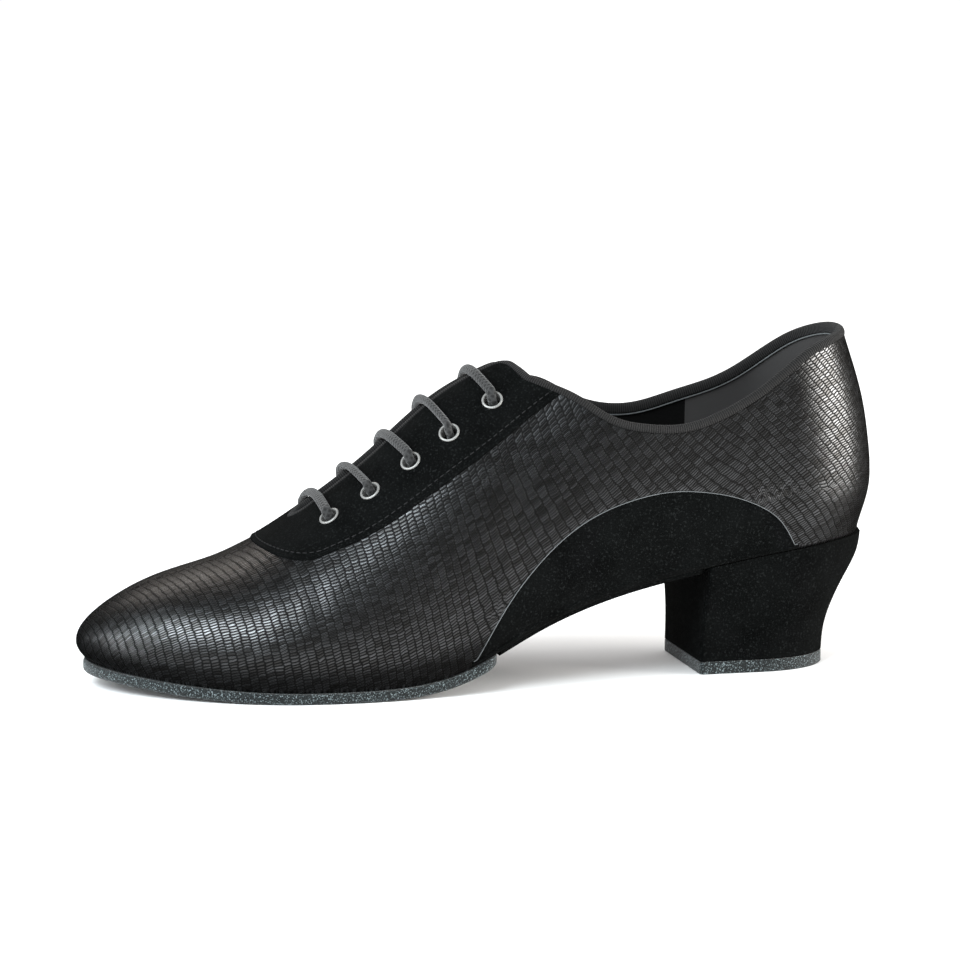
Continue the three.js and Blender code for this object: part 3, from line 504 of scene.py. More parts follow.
def arc_uv(points):
    """Arc lengths in millimetres along the rows and across the columns of a grid."""
    rows, cols = points.shape[:2]
    along = np.zeros((rows, cols))
    across = np.zeros((rows, cols))
    middle = points[:, cols // 2]
    steps = np.linalg.norm(np.diff(middle, axis=0), axis=-1)
    along[1:] = np.cumsum(steps)[:, None]
    across[:, 1:] = np.cumsum(np.linalg.norm(np.diff(points, axis=1), axis=-1), axis=1)
    return np.stack([along, across], -1)


def stacked(name, rings, materials, replaces=(), sharp=40):
    """Solid through closed rings of equal count, its two ends closed by fans."""
    rows, cols = rings.shape[:2]
    points = np.concatenate([rings.reshape(-1, 3), [rings[0].mean(0)], [rings[-1].mean(0)]])
    faces = lattice(rows, cols, 0, False, False, True)
    low = rows * cols
    top = (rows - 1) * cols
    for j in range(cols):
        faces.append([low, j, (j + 1) % cols])
        faces.append([low + 1, top + (j + 1) % cols, top + j])
    wide = np.concatenate([rings, rings[:, :1]], 1)
    around = np.zeros((rows, cols + 1))
    around[:, 1:] = np.cumsum(np.linalg.norm(np.diff(wide, axis=1), axis=-1), axis=1)
    loops = []
    for i, face in enumerate(faces):
        if i < (rows - 1) * cols:
            j = i % cols
            r = i // cols
            corners = [(r, j), (r + 1, j), (r + 1, j + 1), (r, j + 1)]
            loops.append([(around[a, b], rings[a, b % cols, 2]) for a, b in corners])
        else:
            loops.append([(points[v, 0], points[v, 1]) for v in face])
    return build(name, points, faces, materials, loops, None, sharp, replaces)


def tube(rings, start, wide=1.0):
    """Faces and uv of a tube through rings, ends closed."""
    rows, cols = rings.shape[:2]
    centre = rings.mean(1)
    run = np.concatenate([[0], np.cumsum(np.linalg.norm(np.diff(centre, axis=0), axis=-1))])
    faces = lattice(rows, cols, start, False, False, True)
    loops = []
    for i in range(rows - 1):
        for j in range(cols):
            a = (run[i], j / cols * wide)
            b = (run[i + 1], j / cols * wide)
            c = (run[i + 1], (j + 1) / cols * wide)
            d = (run[i], (j + 1) / cols * wide)
            loops.append([a, b, c, d])
    faces.append([start + j for j in range(cols)])
    loops.append([(0, 0)] * cols)
    faces.append([start + (rows - 1) * cols + j for j in range(cols - 1, -1, -1)])
    loops.append([(run[-1], 0)] * cols)
    return faces, loops


def carried_rings(path, shape, side):
    """Rings of a section carried along a path without twist; side is its first direction."""
    rings = []
    for i in range(len(path)):
        along = unit(path[min(i + 1, len(path) - 1)] - path[max(i - 1, 0)])
        other = unit(np.cross(along, side))
        side = unit(np.cross(other, along))
        rings.append([path[i] + side * a + other * b for a, b in shape])
    return np.array(rings)


def smooth_path(points, count):
    """Points at even spacing along a uniform Catmull-Rom curve through the given ones."""
    p = np.asarray(points, float)
    ext = np.concatenate([[2 * p[0] - p[1]], p, [2 * p[-1] - p[-2]]])
    out = []
    for i in range(1, len(ext) - 2):
        a, b, c, d = ext[i - 1:i + 3]
        for t in np.linspace(0, 1, 24, endpoint=False):
            out.append(0.5 * (2 * b + (c - a) * t + (2 * a - 5 * b + 4 * c - d) * t * t
                              + (3 * b - a - 3 * c + d) * t ** 3))
    out.append(ext[-2])
    out = np.array(out)
    run = np.concatenate([[0], np.cumsum(np.linalg.norm(np.diff(out, axis=0), axis=-1))])
    want = np.linspace(0, run[-1], count)
    return np.stack([np.interp(want, run, out[:, k]) for k in range(3)], -1)


# Materials
class Tree:
    """Short names for the nodes of one material."""

    def __init__(self, name):
        self.material = bpy.data.materials.new(name)
        self.material.use_nodes = True
        self.nodes = self.material.node_tree.nodes
        self.links = self.material.node_tree.links
        self.shader = self.nodes["Principled BSDF"]

    def put(self, socket, value):
        if isinstance(value, bpy.types.NodeSocket):
            self.links.new(value, socket)
        else:
            socket.default_value = value

    def node(self, kind, **inputs):
        made = self.nodes.new(kind)
        for name, value in inputs.items():
            self.put(made.inputs[name], value)
        return made

    def math(self, operation, a, b=0.0, c=0.0, clamp=False):
        made = self.nodes.new("ShaderNodeMath")
        made.operation = operation
        made.use_clamp = clamp
        for socket, value in zip(made.inputs, (a, b, c)):
            self.put(socket, value)
        return made.outputs[0]

    def uv(self):
        made = self.nodes.new("ShaderNodeUVMap")
        made.uv_map = "grain"
        split = self.node("ShaderNodeSeparateXYZ", Vector=made.outputs[0])
        return made.outputs[0], split.outputs[0], split.outputs[1]

    def place(self):
        return self.nodes.new("ShaderNodeTexCoord").outputs["Object"]

    def noise(self, vector, scale, detail=2.0, rough=0.5, flat=False):
        made = self.nodes.new("ShaderNodeTexNoise")
        made.noise_dimensions = "2D" if flat else "3D"
        self.put(made.inputs["Vector"], vector)
        made.inputs["Scale"].default_value = scale
        made.inputs["Detail"].default_value = detail
        made.inputs["Roughness"].default_value = rough
        return made.outputs[0]

    def random(self, x, y):
        both = self.node("ShaderNodeCombineXYZ", X=x, Y=y)
        made = self.nodes.new("ShaderNodeTexWhiteNoise")
        made.noise_dimensions = "2D"
        self.links.new(both.outputs[0], made.inputs["Vector"])
        return made.outputs[0]

    def ramp(self, value, stops):
        made = self.nodes.new("ShaderNodeValToRGB")
        ramp = made.color_ramp
        while len(ramp.elements) < len(stops):
            ramp.elements.new(0.5)
        for element, (at, color) in zip(ramp.elements, stops):
            element.position = at
            element.color = (*color, 1) if len(color) == 3 else color
        self.links.new(value, made.inputs[0])
        return made.outputs[0]

    def scale(self, value, low, high, to_low, to_high):
        made = self.nodes.new("ShaderNodeMapRange")
        self.put(made.inputs["Value"], value)
        for name, number in zip(["From Min", "From Max", "To Min", "To Max"], [low, high, to_low, to_high]):
            made.inputs[name].default_value = number
        return made.outputs[0]

    def mix(self, share, a, b):
        made = self.nodes.new("ShaderNodeMix")
        made.data_type = "RGBA"
        self.put(made.inputs[0], share)
        for socket, value in ((made.inputs[6], a), (made.inputs[7], b)):
            self.put(socket, (*value, 1) if isinstance(value, tuple) else value)
        return made.outputs[2]

    def bump(self, height, distance, strength=1.0, normal=None):
        made = self.nodes.new("ShaderNodeBump")
        made.inputs["Strength"].default_value = strength
        made.inputs["Distance"].default_value = distance * MM
        self.links.new(height, made.inputs["Height"])
        if normal is not None:
            self.links.new(normal, made.inputs["Normal"])
        return made.outputs[0]

    def surface(self, color=None, roughness=None, normal=None, **fixed):
        for name, value in (("Base Color", color), ("Roughness", roughness), ("Normal", normal)):
            if value is None:
                continue
            if isinstance(value, tuple):
                value = (*value, 1)
            self.put(self.shader.inputs[name], value)
        for name, value in fixed.items():
            self.shader.inputs[name.replace("_", " ")].default_value = value
        return self.material


CELL_LONG = 2.55
CELL_WIDE = 0.94
CELL_SHEAR = -0.12


def lizard_leather():
    t = Tree("lizard_leather")
    uv, u, v = t.uv()
    warp_u = t.scale(t.noise(uv, 0.35, 2.0, 0.6, True), 0, 1, -0.55, 0.55)
    slant = t.math("MULTIPLY_ADD", v, CELL_SHEAR, u)
    p = t.math("DIVIDE", t.math("ADD", slant, warp_u), CELL_LONG)
    column = t.math("FLOOR", p)
    shift = t.math("MULTIPLY", column, 0.5)
    jitter = t.math("MULTIPLY", t.random(column, 3.0), 0.24)
    drift = t.scale(t.noise(uv, 0.22, 1.0, 0.5, True), 0, 1, -0.5, 0.5)
    q = t.math("DIVIDE", t.math("ADD", v, drift), CELL_WIDE)
    q = t.math("ADD", t.math("ADD", q, shift), jitter)
    row = t.math("FLOOR", q)
    near_p = t.math("ABSOLUTE", t.math("MULTIPLY_ADD", t.math("FRACT", p), 2.0, -1.0))
    near_q = t.math("ABSOLUTE", t.math("MULTIPLY_ADD", t.math("FRACT", q), 2.0, -1.0))
    end = t.math("SUBTRACT", 1.0, t.math("POWER", near_p, 6.0))
    side = t.math("SUBTRACT", 1.0, t.math("POWER", near_q, 2.2))
    cell = t.math("MULTIPLY", end, side, clamp=True)
    rand = t.random(column, row)
    height = t.math("MULTIPLY", cell, t.scale(rand, 0, 1, 0.75, 1.0))
    fine = t.noise(uv, 6.0, 3.0, 0.6, True)
    high = t.math("MULTIPLY_ADD", fine, 0.10, height)
    base = t.mix(rand, (0.058, 0.057, 0.056), (0.132, 0.134, 0.138))
    color = t.mix(t.math("POWER", cell, 1.8), (0.0012, 0.0011, 0.0010), base)
    rough = t.scale(cell, 0, 1, 0.70, 0.25)
    t.put(t.shader.inputs["Metallic"], t.math("MULTIPLY", t.math("MULTIPLY", cell, 2.5, clamp=True), 0.94))
    normal = t.bump(high, 0.08, 0.9)
    return t.surface(color, rough, normal, Specular_IOR_Level=0.2)


def suede(name, dark, light, nap=0.12, sheen=0.006):
    t = Tree(name)
    where = t.place()
    fine = t.noise(where, 2600.0, 3.0, 0.65)
    broad = t.noise(where, 90.0, 3.0, 0.55)
    both = t.math("MULTIPLY_ADD", broad, 0.45, t.math("MULTIPLY", fine, 0.55))
    speck = t.noise(where, 1500.0, 2.0, 0.6)
    color = t.mix(t.scale(both, 0.36, 0.64, 0, 1), dark, light)
    color = t.mix(t.scale(speck, 0.56, 0.70, 0, 1), color, (0.008, 0.009, 0.009))
    normal = t.bump(fine, nap, 0.9)
    return t.surface(color, 0.95, normal, Specular_IOR_Level=0.05, Sheen_Weight=sheen, Sheen_Roughness=0.45)


def split_suede():
    """Chrome suede of the soles: short pale fibres over grey-green."""
    t = Tree("split_suede")
    where = t.place()
    fine = t.noise(where, 1500.0, 4.0, 0.7)
    speck = t.noise(where, 2300.0, 2.0, 0.6)
    base = t.mix(t.scale(fine, 0.3, 0.7, 0, 1), (0.0012, 0.0018, 0.002), (0.015, 0.019, 0.020))
    color = t.mix(t.scale(speck, 0.56, 0.66, 0, 1), base, (0.17, 0.21, 0.22))
    normal = t.bump(t.math("ADD", fine, speck), 0.3, 0.9)
    return t.surface(color, 0.95, normal, Specular_IOR_Level=0.2, Sheen_Weight=0.2)


RIB_PITCH = 0.72


def grosgrain():
    t = Tree("grosgrain")
    uv, u, v = t.uv()
    wave = t.math("SINE", t.math("MULTIPLY", u, 2 * math.pi / RIB_PITCH))
    rib = t.scale(wave, -1, 1, 0, 1)
    weave = t.noise(uv, 5.0, 2.0, 0.6, True)
    # The colour is darker between the ribs and lighter on their crests: painted shade and painted highlight of
    # the ribs. The weave noise is real random tone.
    color = t.mix(t.math("MULTIPLY_ADD", weave, 0.3, t.math("MULTIPLY", rib, 0.75)),
                  (0.0006, 0.0006, 0.0006), (0.019, 0.0185, 0.0185))
    normal = t.bump(t.math("MULTIPLY_ADD", weave, 0.25, rib), 0.22, 0.9)
    return t.surface(color, 0.75, normal, Specular_IOR_Level=0.15, Sheen_Weight=0.05)


def lining_leather():
    t = Tree("lining_leather")
    where = t.place()
    pores = t.noise(where, 1400.0, 3.0, 0.6)
    cloud = t.noise(where, 60.0, 3.0, 0.5)
    color = t.mix(cloud, (0.032, 0.031, 0.031), (0.050, 0.048, 0.048))
    normal = t.bump(pores, 0.06, 0.7)
    return t.surface(color, 0.7, normal, Specular_IOR_Level=0.35)


def lining_textile():
    t = Tree("lining_textile")
    where = t.place()
    weave = t.noise(where, 2200.0, 2.0, 0.6)
    color = t.mix(weave, (0.0006, 0.0006, 0.0006), (0.0040, 0.0040, 0.0040))
    normal = t.bump(weave, 0.1, 0.8)
    return t.surface(color, 0.95, normal, Specular_IOR_Level=0.15)


def lace_weave():
    t = Tree("lace_weave")
    uv, u, v = t.uv()
    turn = t.math("MULTIPLY", v, 2 * math.pi * 4)
    run = t.math("MULTIPLY", u, 2 * math.pi / 1.5)
    left = t.math("SINE", t.math("ADD", run, turn))
    right = t.math("SINE", t.math("SUBTRACT", run, turn))
    weave = t.scale(t.math("MAXIMUM", left, right), -0.6, 1, 0, 1)
    fibre = t.noise(t.place(), 2500.0, 2.0, 0.6)
    # The colour is darker between the braid's strands and lighter on them: painted shade and painted highlight
    # of the braid. The fibre noise is real random tone.
    color = t.mix(t.math("MULTIPLY_ADD", fibre, 0.4, t.math("MULTIPLY", weave, 0.7)),
                  (0.0012, 0.0012, 0.0012), (0.025, 0.0258, 0.0262))
    normal = t.bump(t.math("MULTIPLY_ADD", fibre, 0.3, weave), 0.2, 0.8)
    return t.surface(color, 0.85, normal, Specular_IOR_Level=0.25, Sheen_Weight=0.2)


def nickel():
    t = Tree("nickel")
    where = t.place()
    marks = t.noise(where, 900.0, 2.0, 0.5)
    rough = t.scale(marks, 0.3, 0.7, 0.30, 0.42)
    return t.surface((0.27, 0.27, 0.262), rough, None, Metallic=0.4)


def thread_material():
    t = Tree("thread")
    marks = t.noise(t.place(), 3000.0, 2.0, 0.5)
    color = t.mix(marks, (0.004, 0.004, 0.0045), (0.012, 0.012, 0.013))
    return t.surface(color, 0.7, None, Specular_IOR_Level=0.3)


def cut_edge():
    t = Tree("cut_edge")
    marks = t.noise(t.place(), 1800.0, 2.0, 0.5)
    color = t.mix(marks, (0.05, 0.055, 0.057), (0.14, 0.15, 0.155))
    return t.surface(color, 0.7, None, Specular_IOR_Level=0.4)


LIZARD = lizard_leather()
BLACK_SUEDE = suede("black_suede", (0.0004, 0.0006, 0.0006), (0.0026, 0.0031, 0.0031))
SPLIT = split_suede()
RIBBON = grosgrain()
LINING = lining_leather()
TEXTILE = lining_textile()
LACE = lace_weave()
NICKEL = nickel()
THREAD = thread_material()
CUT = cut_edge()

# Soft troughs of the vamp: share of the length, girth, half length and half girth, depth in millimetres.
TROUGHS = [
    (0.765, 2.45, 0.012, 0.30, 0.30),
    (0.800, 2.55, 0.010, 0.26, 0.22),
    (0.735, 2.20, 0.014, 0.35, 0.28),
    (0.770, 3.50, 0.013, 0.30, 0.30),
    (0.480, 2.20, 0.020, 0.30, 0.25),
    (0.085, 2.15, 0.025, 0.30, 0.20),
]


def trough_depth(at, girth):
    depth = np.zeros(np.broadcast(at, girth).shape)
    for mid, high, wide, tall, deep in TROUGHS:
        depth = depth + deep * np.exp(-((at - mid) / wide) ** 2 - ((girth - high) / tall) ** 2)
    return depth


# Upper
RING_STEPS = 200
ARCH_FLOOR = 1.1
LINING_SPLIT = 0.209


def upper_stations():
    even = share_of(np.linspace(0, 1, RING_STEPS + 1))
    round_end = [THROAT_FRONT - THROAT_ROUND * v for v in (1, 0.8, 0.6, 0.42, 0.27, 0.15, 0.07, 0.02)]
    own = [*round_end, THROAT_FRONT, ARCH_BACK, ARCH_FRONT, ARCH_BACK - 5e-4, ARCH_FRONT + 5e-4]
    far = [v for v in even if min(abs(v - w) for w in own) > 1.2e-3]
    return np.array(sorted([*far, *own]))


STATIONS = upper_stations()


def side_columns():
    """Stations of the outer side from heel to toe, then of the inner side back again."""
    at = np.concatenate([STATIONS, STATIONS[1:-1][::-1]])
    outer = np.zeros(len(at), bool)
    outer[:len(STATIONS)] = True
    return at, outer


def arch_border(at, ring):
    inside = (at >= ARCH_BACK) & (at <= ARCH_FRONT)
    high = arch_top(np.clip(at, ARCH_BACK, ARCH_FRONT)) * INSTEP_HEIGHT
    border = np.maximum(girth_of_height(ring, high), 1.03)
    return np.where(inside, border, 1.03), inside


def crest_arc(at, outer, girth):
    """Arc length in millimetres from the virtual crest down to a girth, for the run of the grain."""
    steps = 60
    share = np.linspace(0, 1, steps)
    ring = np.where(outer, ring_of(at), -ring_of(at))
    line = 3 - share[None, :] * 2.0
    points = last_point(ring[:, None], line)
    run = np.zeros(points.shape[:2])
    run[:, 1:] = np.cumsum(np.linalg.norm(np.diff(points, axis=1), axis=-1), axis=1)
    out = np.empty(girth.shape)
    for i in range(len(at)):
        out[i] = np.interp(3 - girth[i], share * 2.0, run[i])
    return out, run[:, -1]


# Turn of the grain in degrees at shares of the length.
GRAIN_AT = [0.0, 0.20, 0.35, 0.55, 1.0]
GRAIN_TURN = [30, 30, 20, 6, 3]


def grain_uv(at, outer, girth):
    """Grain runs lengthwise; columns cross it. Side rows ease from the crest line to the foot line."""
    down, whole = crest_arc(at, outer, np.clip(girth, 1, 3.2))
    length_line = last_point(ring_of(STATIONS), 2.35)
    run = np.concatenate([[0], np.cumsum(np.linalg.norm(np.diff(length_line, axis=0), axis=-1))])
    u = np.interp(at, STATIONS, run)[:, None] * np.ones(girth.shape)
    ease = np.clip(down / 45.0, 0, 1)
    ease = ease * ease * (3 - 2 * ease)
    v = down - 0.55 * ease * (whole[:, None] - 60.0)
    v = np.where(outer[:, None], -v, v)
    slope = np.tan(np.radians(np.interp(STATIONS, GRAIN_AT, GRAIN_TURN)))
    climb = np.concatenate([[0], np.cumsum((slope[1:] + slope[:-1]) / 2 * np.diff(run))])
    u = u - v * np.interp(at, STATIONS, slope)[:, None]
    v = v + np.interp(at, STATIONS, climb)[:, None]
    return np.stack([u, v], -1)


def make_upper():
    at, outer = side_columns()
    ring = np.where(outer, ring_of(at), -ring_of(at))
    own_top = np.where(outer, top_girth(at, "outer"), top_girth(at, "inner"))
    border, inside = arch_border(at, ring)
    low_rows = 10
    high_rows = 46
    low = 1 + (border - 1)[:, None] * np.linspace(0, 1, low_rows)[None, :]
    lip = np.array([0.0, 0.003, 0.012])
    steps = border[:, None] + lip[None, :]
    start = border + lip[-1]
    high = start[:, None] + (own_top - start)[:, None] * np.linspace(0, 1, high_rows)[None, 1:]
    under = np.tile(np.array([0.0, 0.3, 0.6, 0.85]), (len(at), 1))
    girth = np.concatenate([under, low, steps, high], 1)
    depth = np.zeros(girth.shape)
    first_lip = under.shape[1] + low_rows
    depth[:, under.shape[1]:first_lip] = -ARCH_FLOOR
    depth[:, first_lip] = -0.22
    depth[:, first_lip + 1] = -0.03
    depth[~inside] = 0
    depth -= trough_depth(at[:, None], np.where(outer[:, None], girth, 6 - girth))
    sheet = last_offset(ring[:, None], girth, depth)
    x, y = foot_line(ring, sizes(at)["turn"] + MARGIN)
    margin = np.stack([x, y, level_at(ring, x)], -1)[:, None]
    sheet = np.concatenate([margin, sheet], 1)
    uv = grain_uv(at, outer, girth)
    uv = np.concatenate([uv[:, :1] + np.array([0, -MARGIN]), uv], 1)

    inner_rows = 30
    inner_girth = 0.9 + (own_top - 0.9)[:, None] * np.linspace(0, 1, inner_rows)[None, :]
    inner = last_offset(ring[:, None], inner_girth, np.full(inner_girth.shape, -WALL))
    floor = margin + np.array([0, 0, WALL])
    corner_x, corner_y = foot_line(ring, WALL + 0.9)
    corner = np.stack([corner_x, corner_y, level_at(ring, corner_x) + WALL], -1)[:, None]
    inner[:, 0, 2] = np.maximum(inner[:, 0, 2], corner[:, 0, 2] + 0.9)
    inner = np.concatenate([floor, corner, inner], 1)

    rows = len(at)
    cols = sheet.shape[1]
    inner_cols = inner.shape[1]
    size = rows * cols
    points = np.concatenate([sheet.reshape(-1, 3), inner.reshape(-1, 3)])
    faces = []
    loops = []
    mats = []
    lip_row = first_lip
    for i in range(rows):
        k = (i + 1) % rows
        for j in range(cols - 1):
            faces.append([i * cols + j, k * cols + j, k * cols + j + 1, i * cols + j + 1])
            loops.append([tuple(uv[i, j]), tuple(uv[k, j]), tuple(uv[k, j + 1]), tuple(uv[i, j + 1])])
            arch = inside[i] and inside[k]
            mats.append(1 if arch and j <= lip_row - 1 else 2 if arch and j == lip_row else 0)
        for j in range(inner_cols - 1):
            a = size + i * inner_cols + j
            b = size + k * inner_cols + j
            faces.append([a, a + 1, b + 1, b])
            z = j * 2.0
            loops.append([(at[i] * LENGTH, z), (at[i] * LENGTH, z + 2), (at[k] * LENGTH, z + 2),
                          (at[k] * LENGTH, z)])
            mats.append(3 if max(at[i], at[k]) <= LINING_SPLIT else 4)
        faces.append([i * cols, size + i * inner_cols, size + k * inner_cols, k * cols])
        loops.append([(0, 0)] * 4)
        mats.append(1)
        if not (at[i] >= THROAT_FRONT and at[k] >= THROAT_FRONT):
            a = i * cols + cols - 1
            b = k * cols + cols - 1
            c = size + i * inner_cols + inner_cols - 1
            d = size + k * inner_cols + inner_cols - 1
            faces.append([a, b, d, c])
            loops.append([(0, 0)] * 4)
            mats.append(4)
    points, faces, loops, mats = open_holes(points, faces, loops, mats)
    return build("upper_shell", points, faces, [LIZARD, BLACK_SUEDE, CUT, LINING, TEXTILE],
                 loops, mats, 50, ["upper"])


def make_arch(which):
    at = np.concatenate([[ARCH_BACK + 0.001], STATIONS[(STATIONS > ARCH_BACK + 0.002)
                                                       & (STATIONS < ARCH_FRONT - 0.002)],
                         [ARCH_FRONT - 0.001]])
    ring = ring_of(at) if which == "outer" else -ring_of(at)
    border, unused = arch_border(at, ring)
    share = np.linspace(0, 1, 16)
    girth = 0.35 + (border + 0.001 - 0.35)[:, None] * share[None, :]
    outer = last_offset(ring[:, None], girth, np.full(girth.shape, -0.38))
    inner = last_offset(ring[:, None], girth, np.full(girth.shape, -1.0))
    name = "arch_suede_" + which
    return closed_sheet(name, outer, inner, [BLACK_SUEDE], ["arch_panel_" + which], which == "inner")


# Facing panel
STITCH_INSET = 1.6
STITCH_PITCH = 2.3
STITCH_LONG = 1.7


def facing_half(at, which, grow=0.0):
    front = EYESTAY_FRONT + grow / LENGTH
    round_end = closing((at - front + EYESTAY_ROUND) / EYESTAY_ROUND, 2.2)
    return (eyestay_half[which](at) * BALL_WIDTH + grow) * round_end


def facing_border(which, grow, count):
    """Points of the panel's lower border on one side, from the collar to its front tip."""
    front = EYESTAY_FRONT + grow / LENGTH
    back = EYESTAY_BACK + 0.002
    share = np.linspace(0, 1, count)
    at = back + (front - back) * (1 - (1 - share) ** 2)
    sign = -1 if which == "outer" else 1
    return at, girth_of_offset(at, sign * np.maximum(facing_half(at, which, grow), 1e-6))


def border_points(grow, outward, count=220):
    at, girth = facing_border("outer", grow, count)
    other_at, other_girth = facing_border("inner", grow, count)
    at = np.concatenate([at, other_at[::-1][1:]])
    girth = np.concatenate([girth, other_girth[::-1][1:]])
    return last_offset(ring_of(at), girth, np.full(at.shape, outward))


def make_eyestay():
    front = EYESTAY_FRONT
    straight = np.linspace(EYESTAY_BACK, THROAT_FRONT - THROAT_ROUND, 140)
    end = [THROAT_FRONT - THROAT_ROUND * v for v in (0.8, 0.6, 0.42, 0.27, 0.15, 0.07, 0.02)]
    tip = THROAT_FRONT + (front - THROAT_FRONT) * np.sin(np.linspace(0, 1, 34) * math.pi / 2)
    at = np.concatenate([straight, end, tip])
    rows = 56
    share = 1 - np.cos(np.linspace(0, 1, rows) * math.pi / 2) * 0.9 - 0.1 * np.linspace(1, 0, rows)
    share = np.maximum(share, 0) ** 1.25
    border = border_points(0.0, 0.0)
    sides = []
    for which in ("outer", "inner"):
        sign = -1 if which == "outer" else 1
        half = np.maximum(facing_half(at, which), 1e-6)
        low = girth_of_offset(at, sign * half)
        low = low if which == "outer" else 6 - low
        top = top_girth(at, which)
        low = np.minimum(low, top - 1e-4)
        girth = low[:, None] + (top - low)[:, None] * share[None, :]
        ring = ring_of(at) if which == "outer" else -ring_of(at)
        base = last_point(ring[:, None], girth)
        flat = base.reshape(-1, 3)
        far = np.empty(len(flat))
        for i in range(0, len(flat), 2000):
            gap = np.linalg.norm(flat[i:i + 2000, None] - border[None], axis=-1)
            far[i:i + 2000] = gap.min(1)
        far = far.reshape(girth.shape)
        rise = EYESTAY_PROUD * (1 - np.exp(-far / 0.22)) - 0.06
        rise -= 0.26 * np.exp(-((far - STITCH_INSET) / 0.42) ** 2)
        rise += 0.10 * np.exp(-((far - 0.75) / 0.45) ** 2)
        sides.append((last_offset(ring[:, None], girth, rise), far, ring, girth))
    outer_top, outer_far, outer_ring, outer_girth = sides[0]
    inner_top, inner_far, inner_ring, inner_girth = sides[1]
    points = [outer_top, inner_top]
    bottoms = [
        last_offset(outer_ring[:, None], outer_girth, np.full(outer_girth.shape, -0.3)),
        last_offset(inner_ring[:, None], inner_girth, np.full(inner_girth.shape, -0.3)),
    ]
    n, m = outer_girth.shape
    size = n * m
    all_points = np.concatenate([p.reshape(-1, 3) for p in [*points, *bottoms]])
    faces = lattice(n, m, 0) + lattice(n, m, size, True)
    faces += lattice(n, m, 2 * size, True) + lattice(n, m, 3 * size)
    for side, flip in ((0, False), (1, True)):
        base = side * size
        for i in range(n - 1):
            a, b = base + i * m, base + (i + 1) * m
            quad = [a, a + 2 * size, b + 2 * size, b]
            faces.append(quad[::-1] if flip else quad)
            if at[i + 1] <= THROAT_FRONT + 1e-9:
                a, b = base + i * m + m - 1, base + (i + 1) * m + m - 1
                quad = [a, b, b + 2 * size, a + 2 * size]
                faces.append(quad[::-1] if flip else quad)
        for j in range(m - 1):
            a, b = base + j, base + j + 1
            quad = [a, b, b + 2 * size, a + 2 * size]
            faces.append(quad[::-1] if flip else quad)
    all_points, faces, unused, unused_mats = open_holes(all_points, faces, None, None)
    return build("eyestay_suede", all_points, faces, [BLACK_SUEDE], None, None, 60, ["eyestay"])


def make_stitches():
    at, girth = facing_border("outer", -STITCH_INSET, 300)
    other_at, other_girth = facing_border("inner", -STITCH_INSET, 300)
    at = np.concatenate([at, other_at[::-1][1:]])
    girth = np.concatenate([girth, other_girth[::-1][1:]])
    ring = ring_of(at)
    line = last_offset(ring, girth, np.full(at.shape, EYESTAY_PROUD - 0.20))
    normals = last_normal(ring, girth)
    run = np.concatenate([[0], np.cumsum(np.linalg.norm(np.diff(line, axis=0), axis=-1))])
    points = []
    faces = []
    loops = []
    start = 0
    for k in range(int(run[-1] / STITCH_PITCH)):
        a = (k + 0.15) * STITCH_PITCH
        stops = a + STITCH_LONG * np.array([0, 0.12, 0.5, 0.88, 1.0])
        sink = np.array([-0.22, 0.02, 0.10, 0.02, -0.22])
        path = np.stack([np.interp(stops, run, line[:, c]) for c in range(3)], -1)
        out = unit(np.stack([np.interp(stops, run, normals[:, c]) for c in range(3)], -1))
        path = path + out * sink[:, None]
        shape = [(0.2 * math.cos(w), 0.17 * math.sin(w)) for w in np.arange(6) * math.pi / 3]
        rings = carried_rings(path, shape, unit(np.cross(out[0], path[-1] - path[0])))
        piece_faces, piece_loops = tube(rings, start)
        points.append(rings.reshape(-1, 3))
        faces += piece_faces
        loops += piece_loops
        start += rings.shape[0] * rings.shape[1]
    return build("eyestay_stitches", np.concatenate(points), faces, [THREAD], loops, None, 60)


# Binding
TAPE = [
    (1.00, 0.10), (1.32, 0.16), (1.50, 0.70), (1.52, 1.30), (1.42, 1.90), (1.12, 2.34), (0.66, 2.62),
    (0.10, 2.74), (-0.46, 2.68), (-0.98, 2.44), (-1.40, 2.02), (-1.66, 1.40), (-1.78, 0.60),
    (-1.82, 0.35), (-1.80, -0.15), (-1.40, -0.30), (-1.25, 0.2), (-1.0, 0.6), (0.6, 0.6),
]
BEAD_MIDDLE = -0.95


EDGE_OUT = -1.55
EDGE_UP = -0.62
EDGE_RADIUS = 0.26
CUT_RADIUS = 0.13


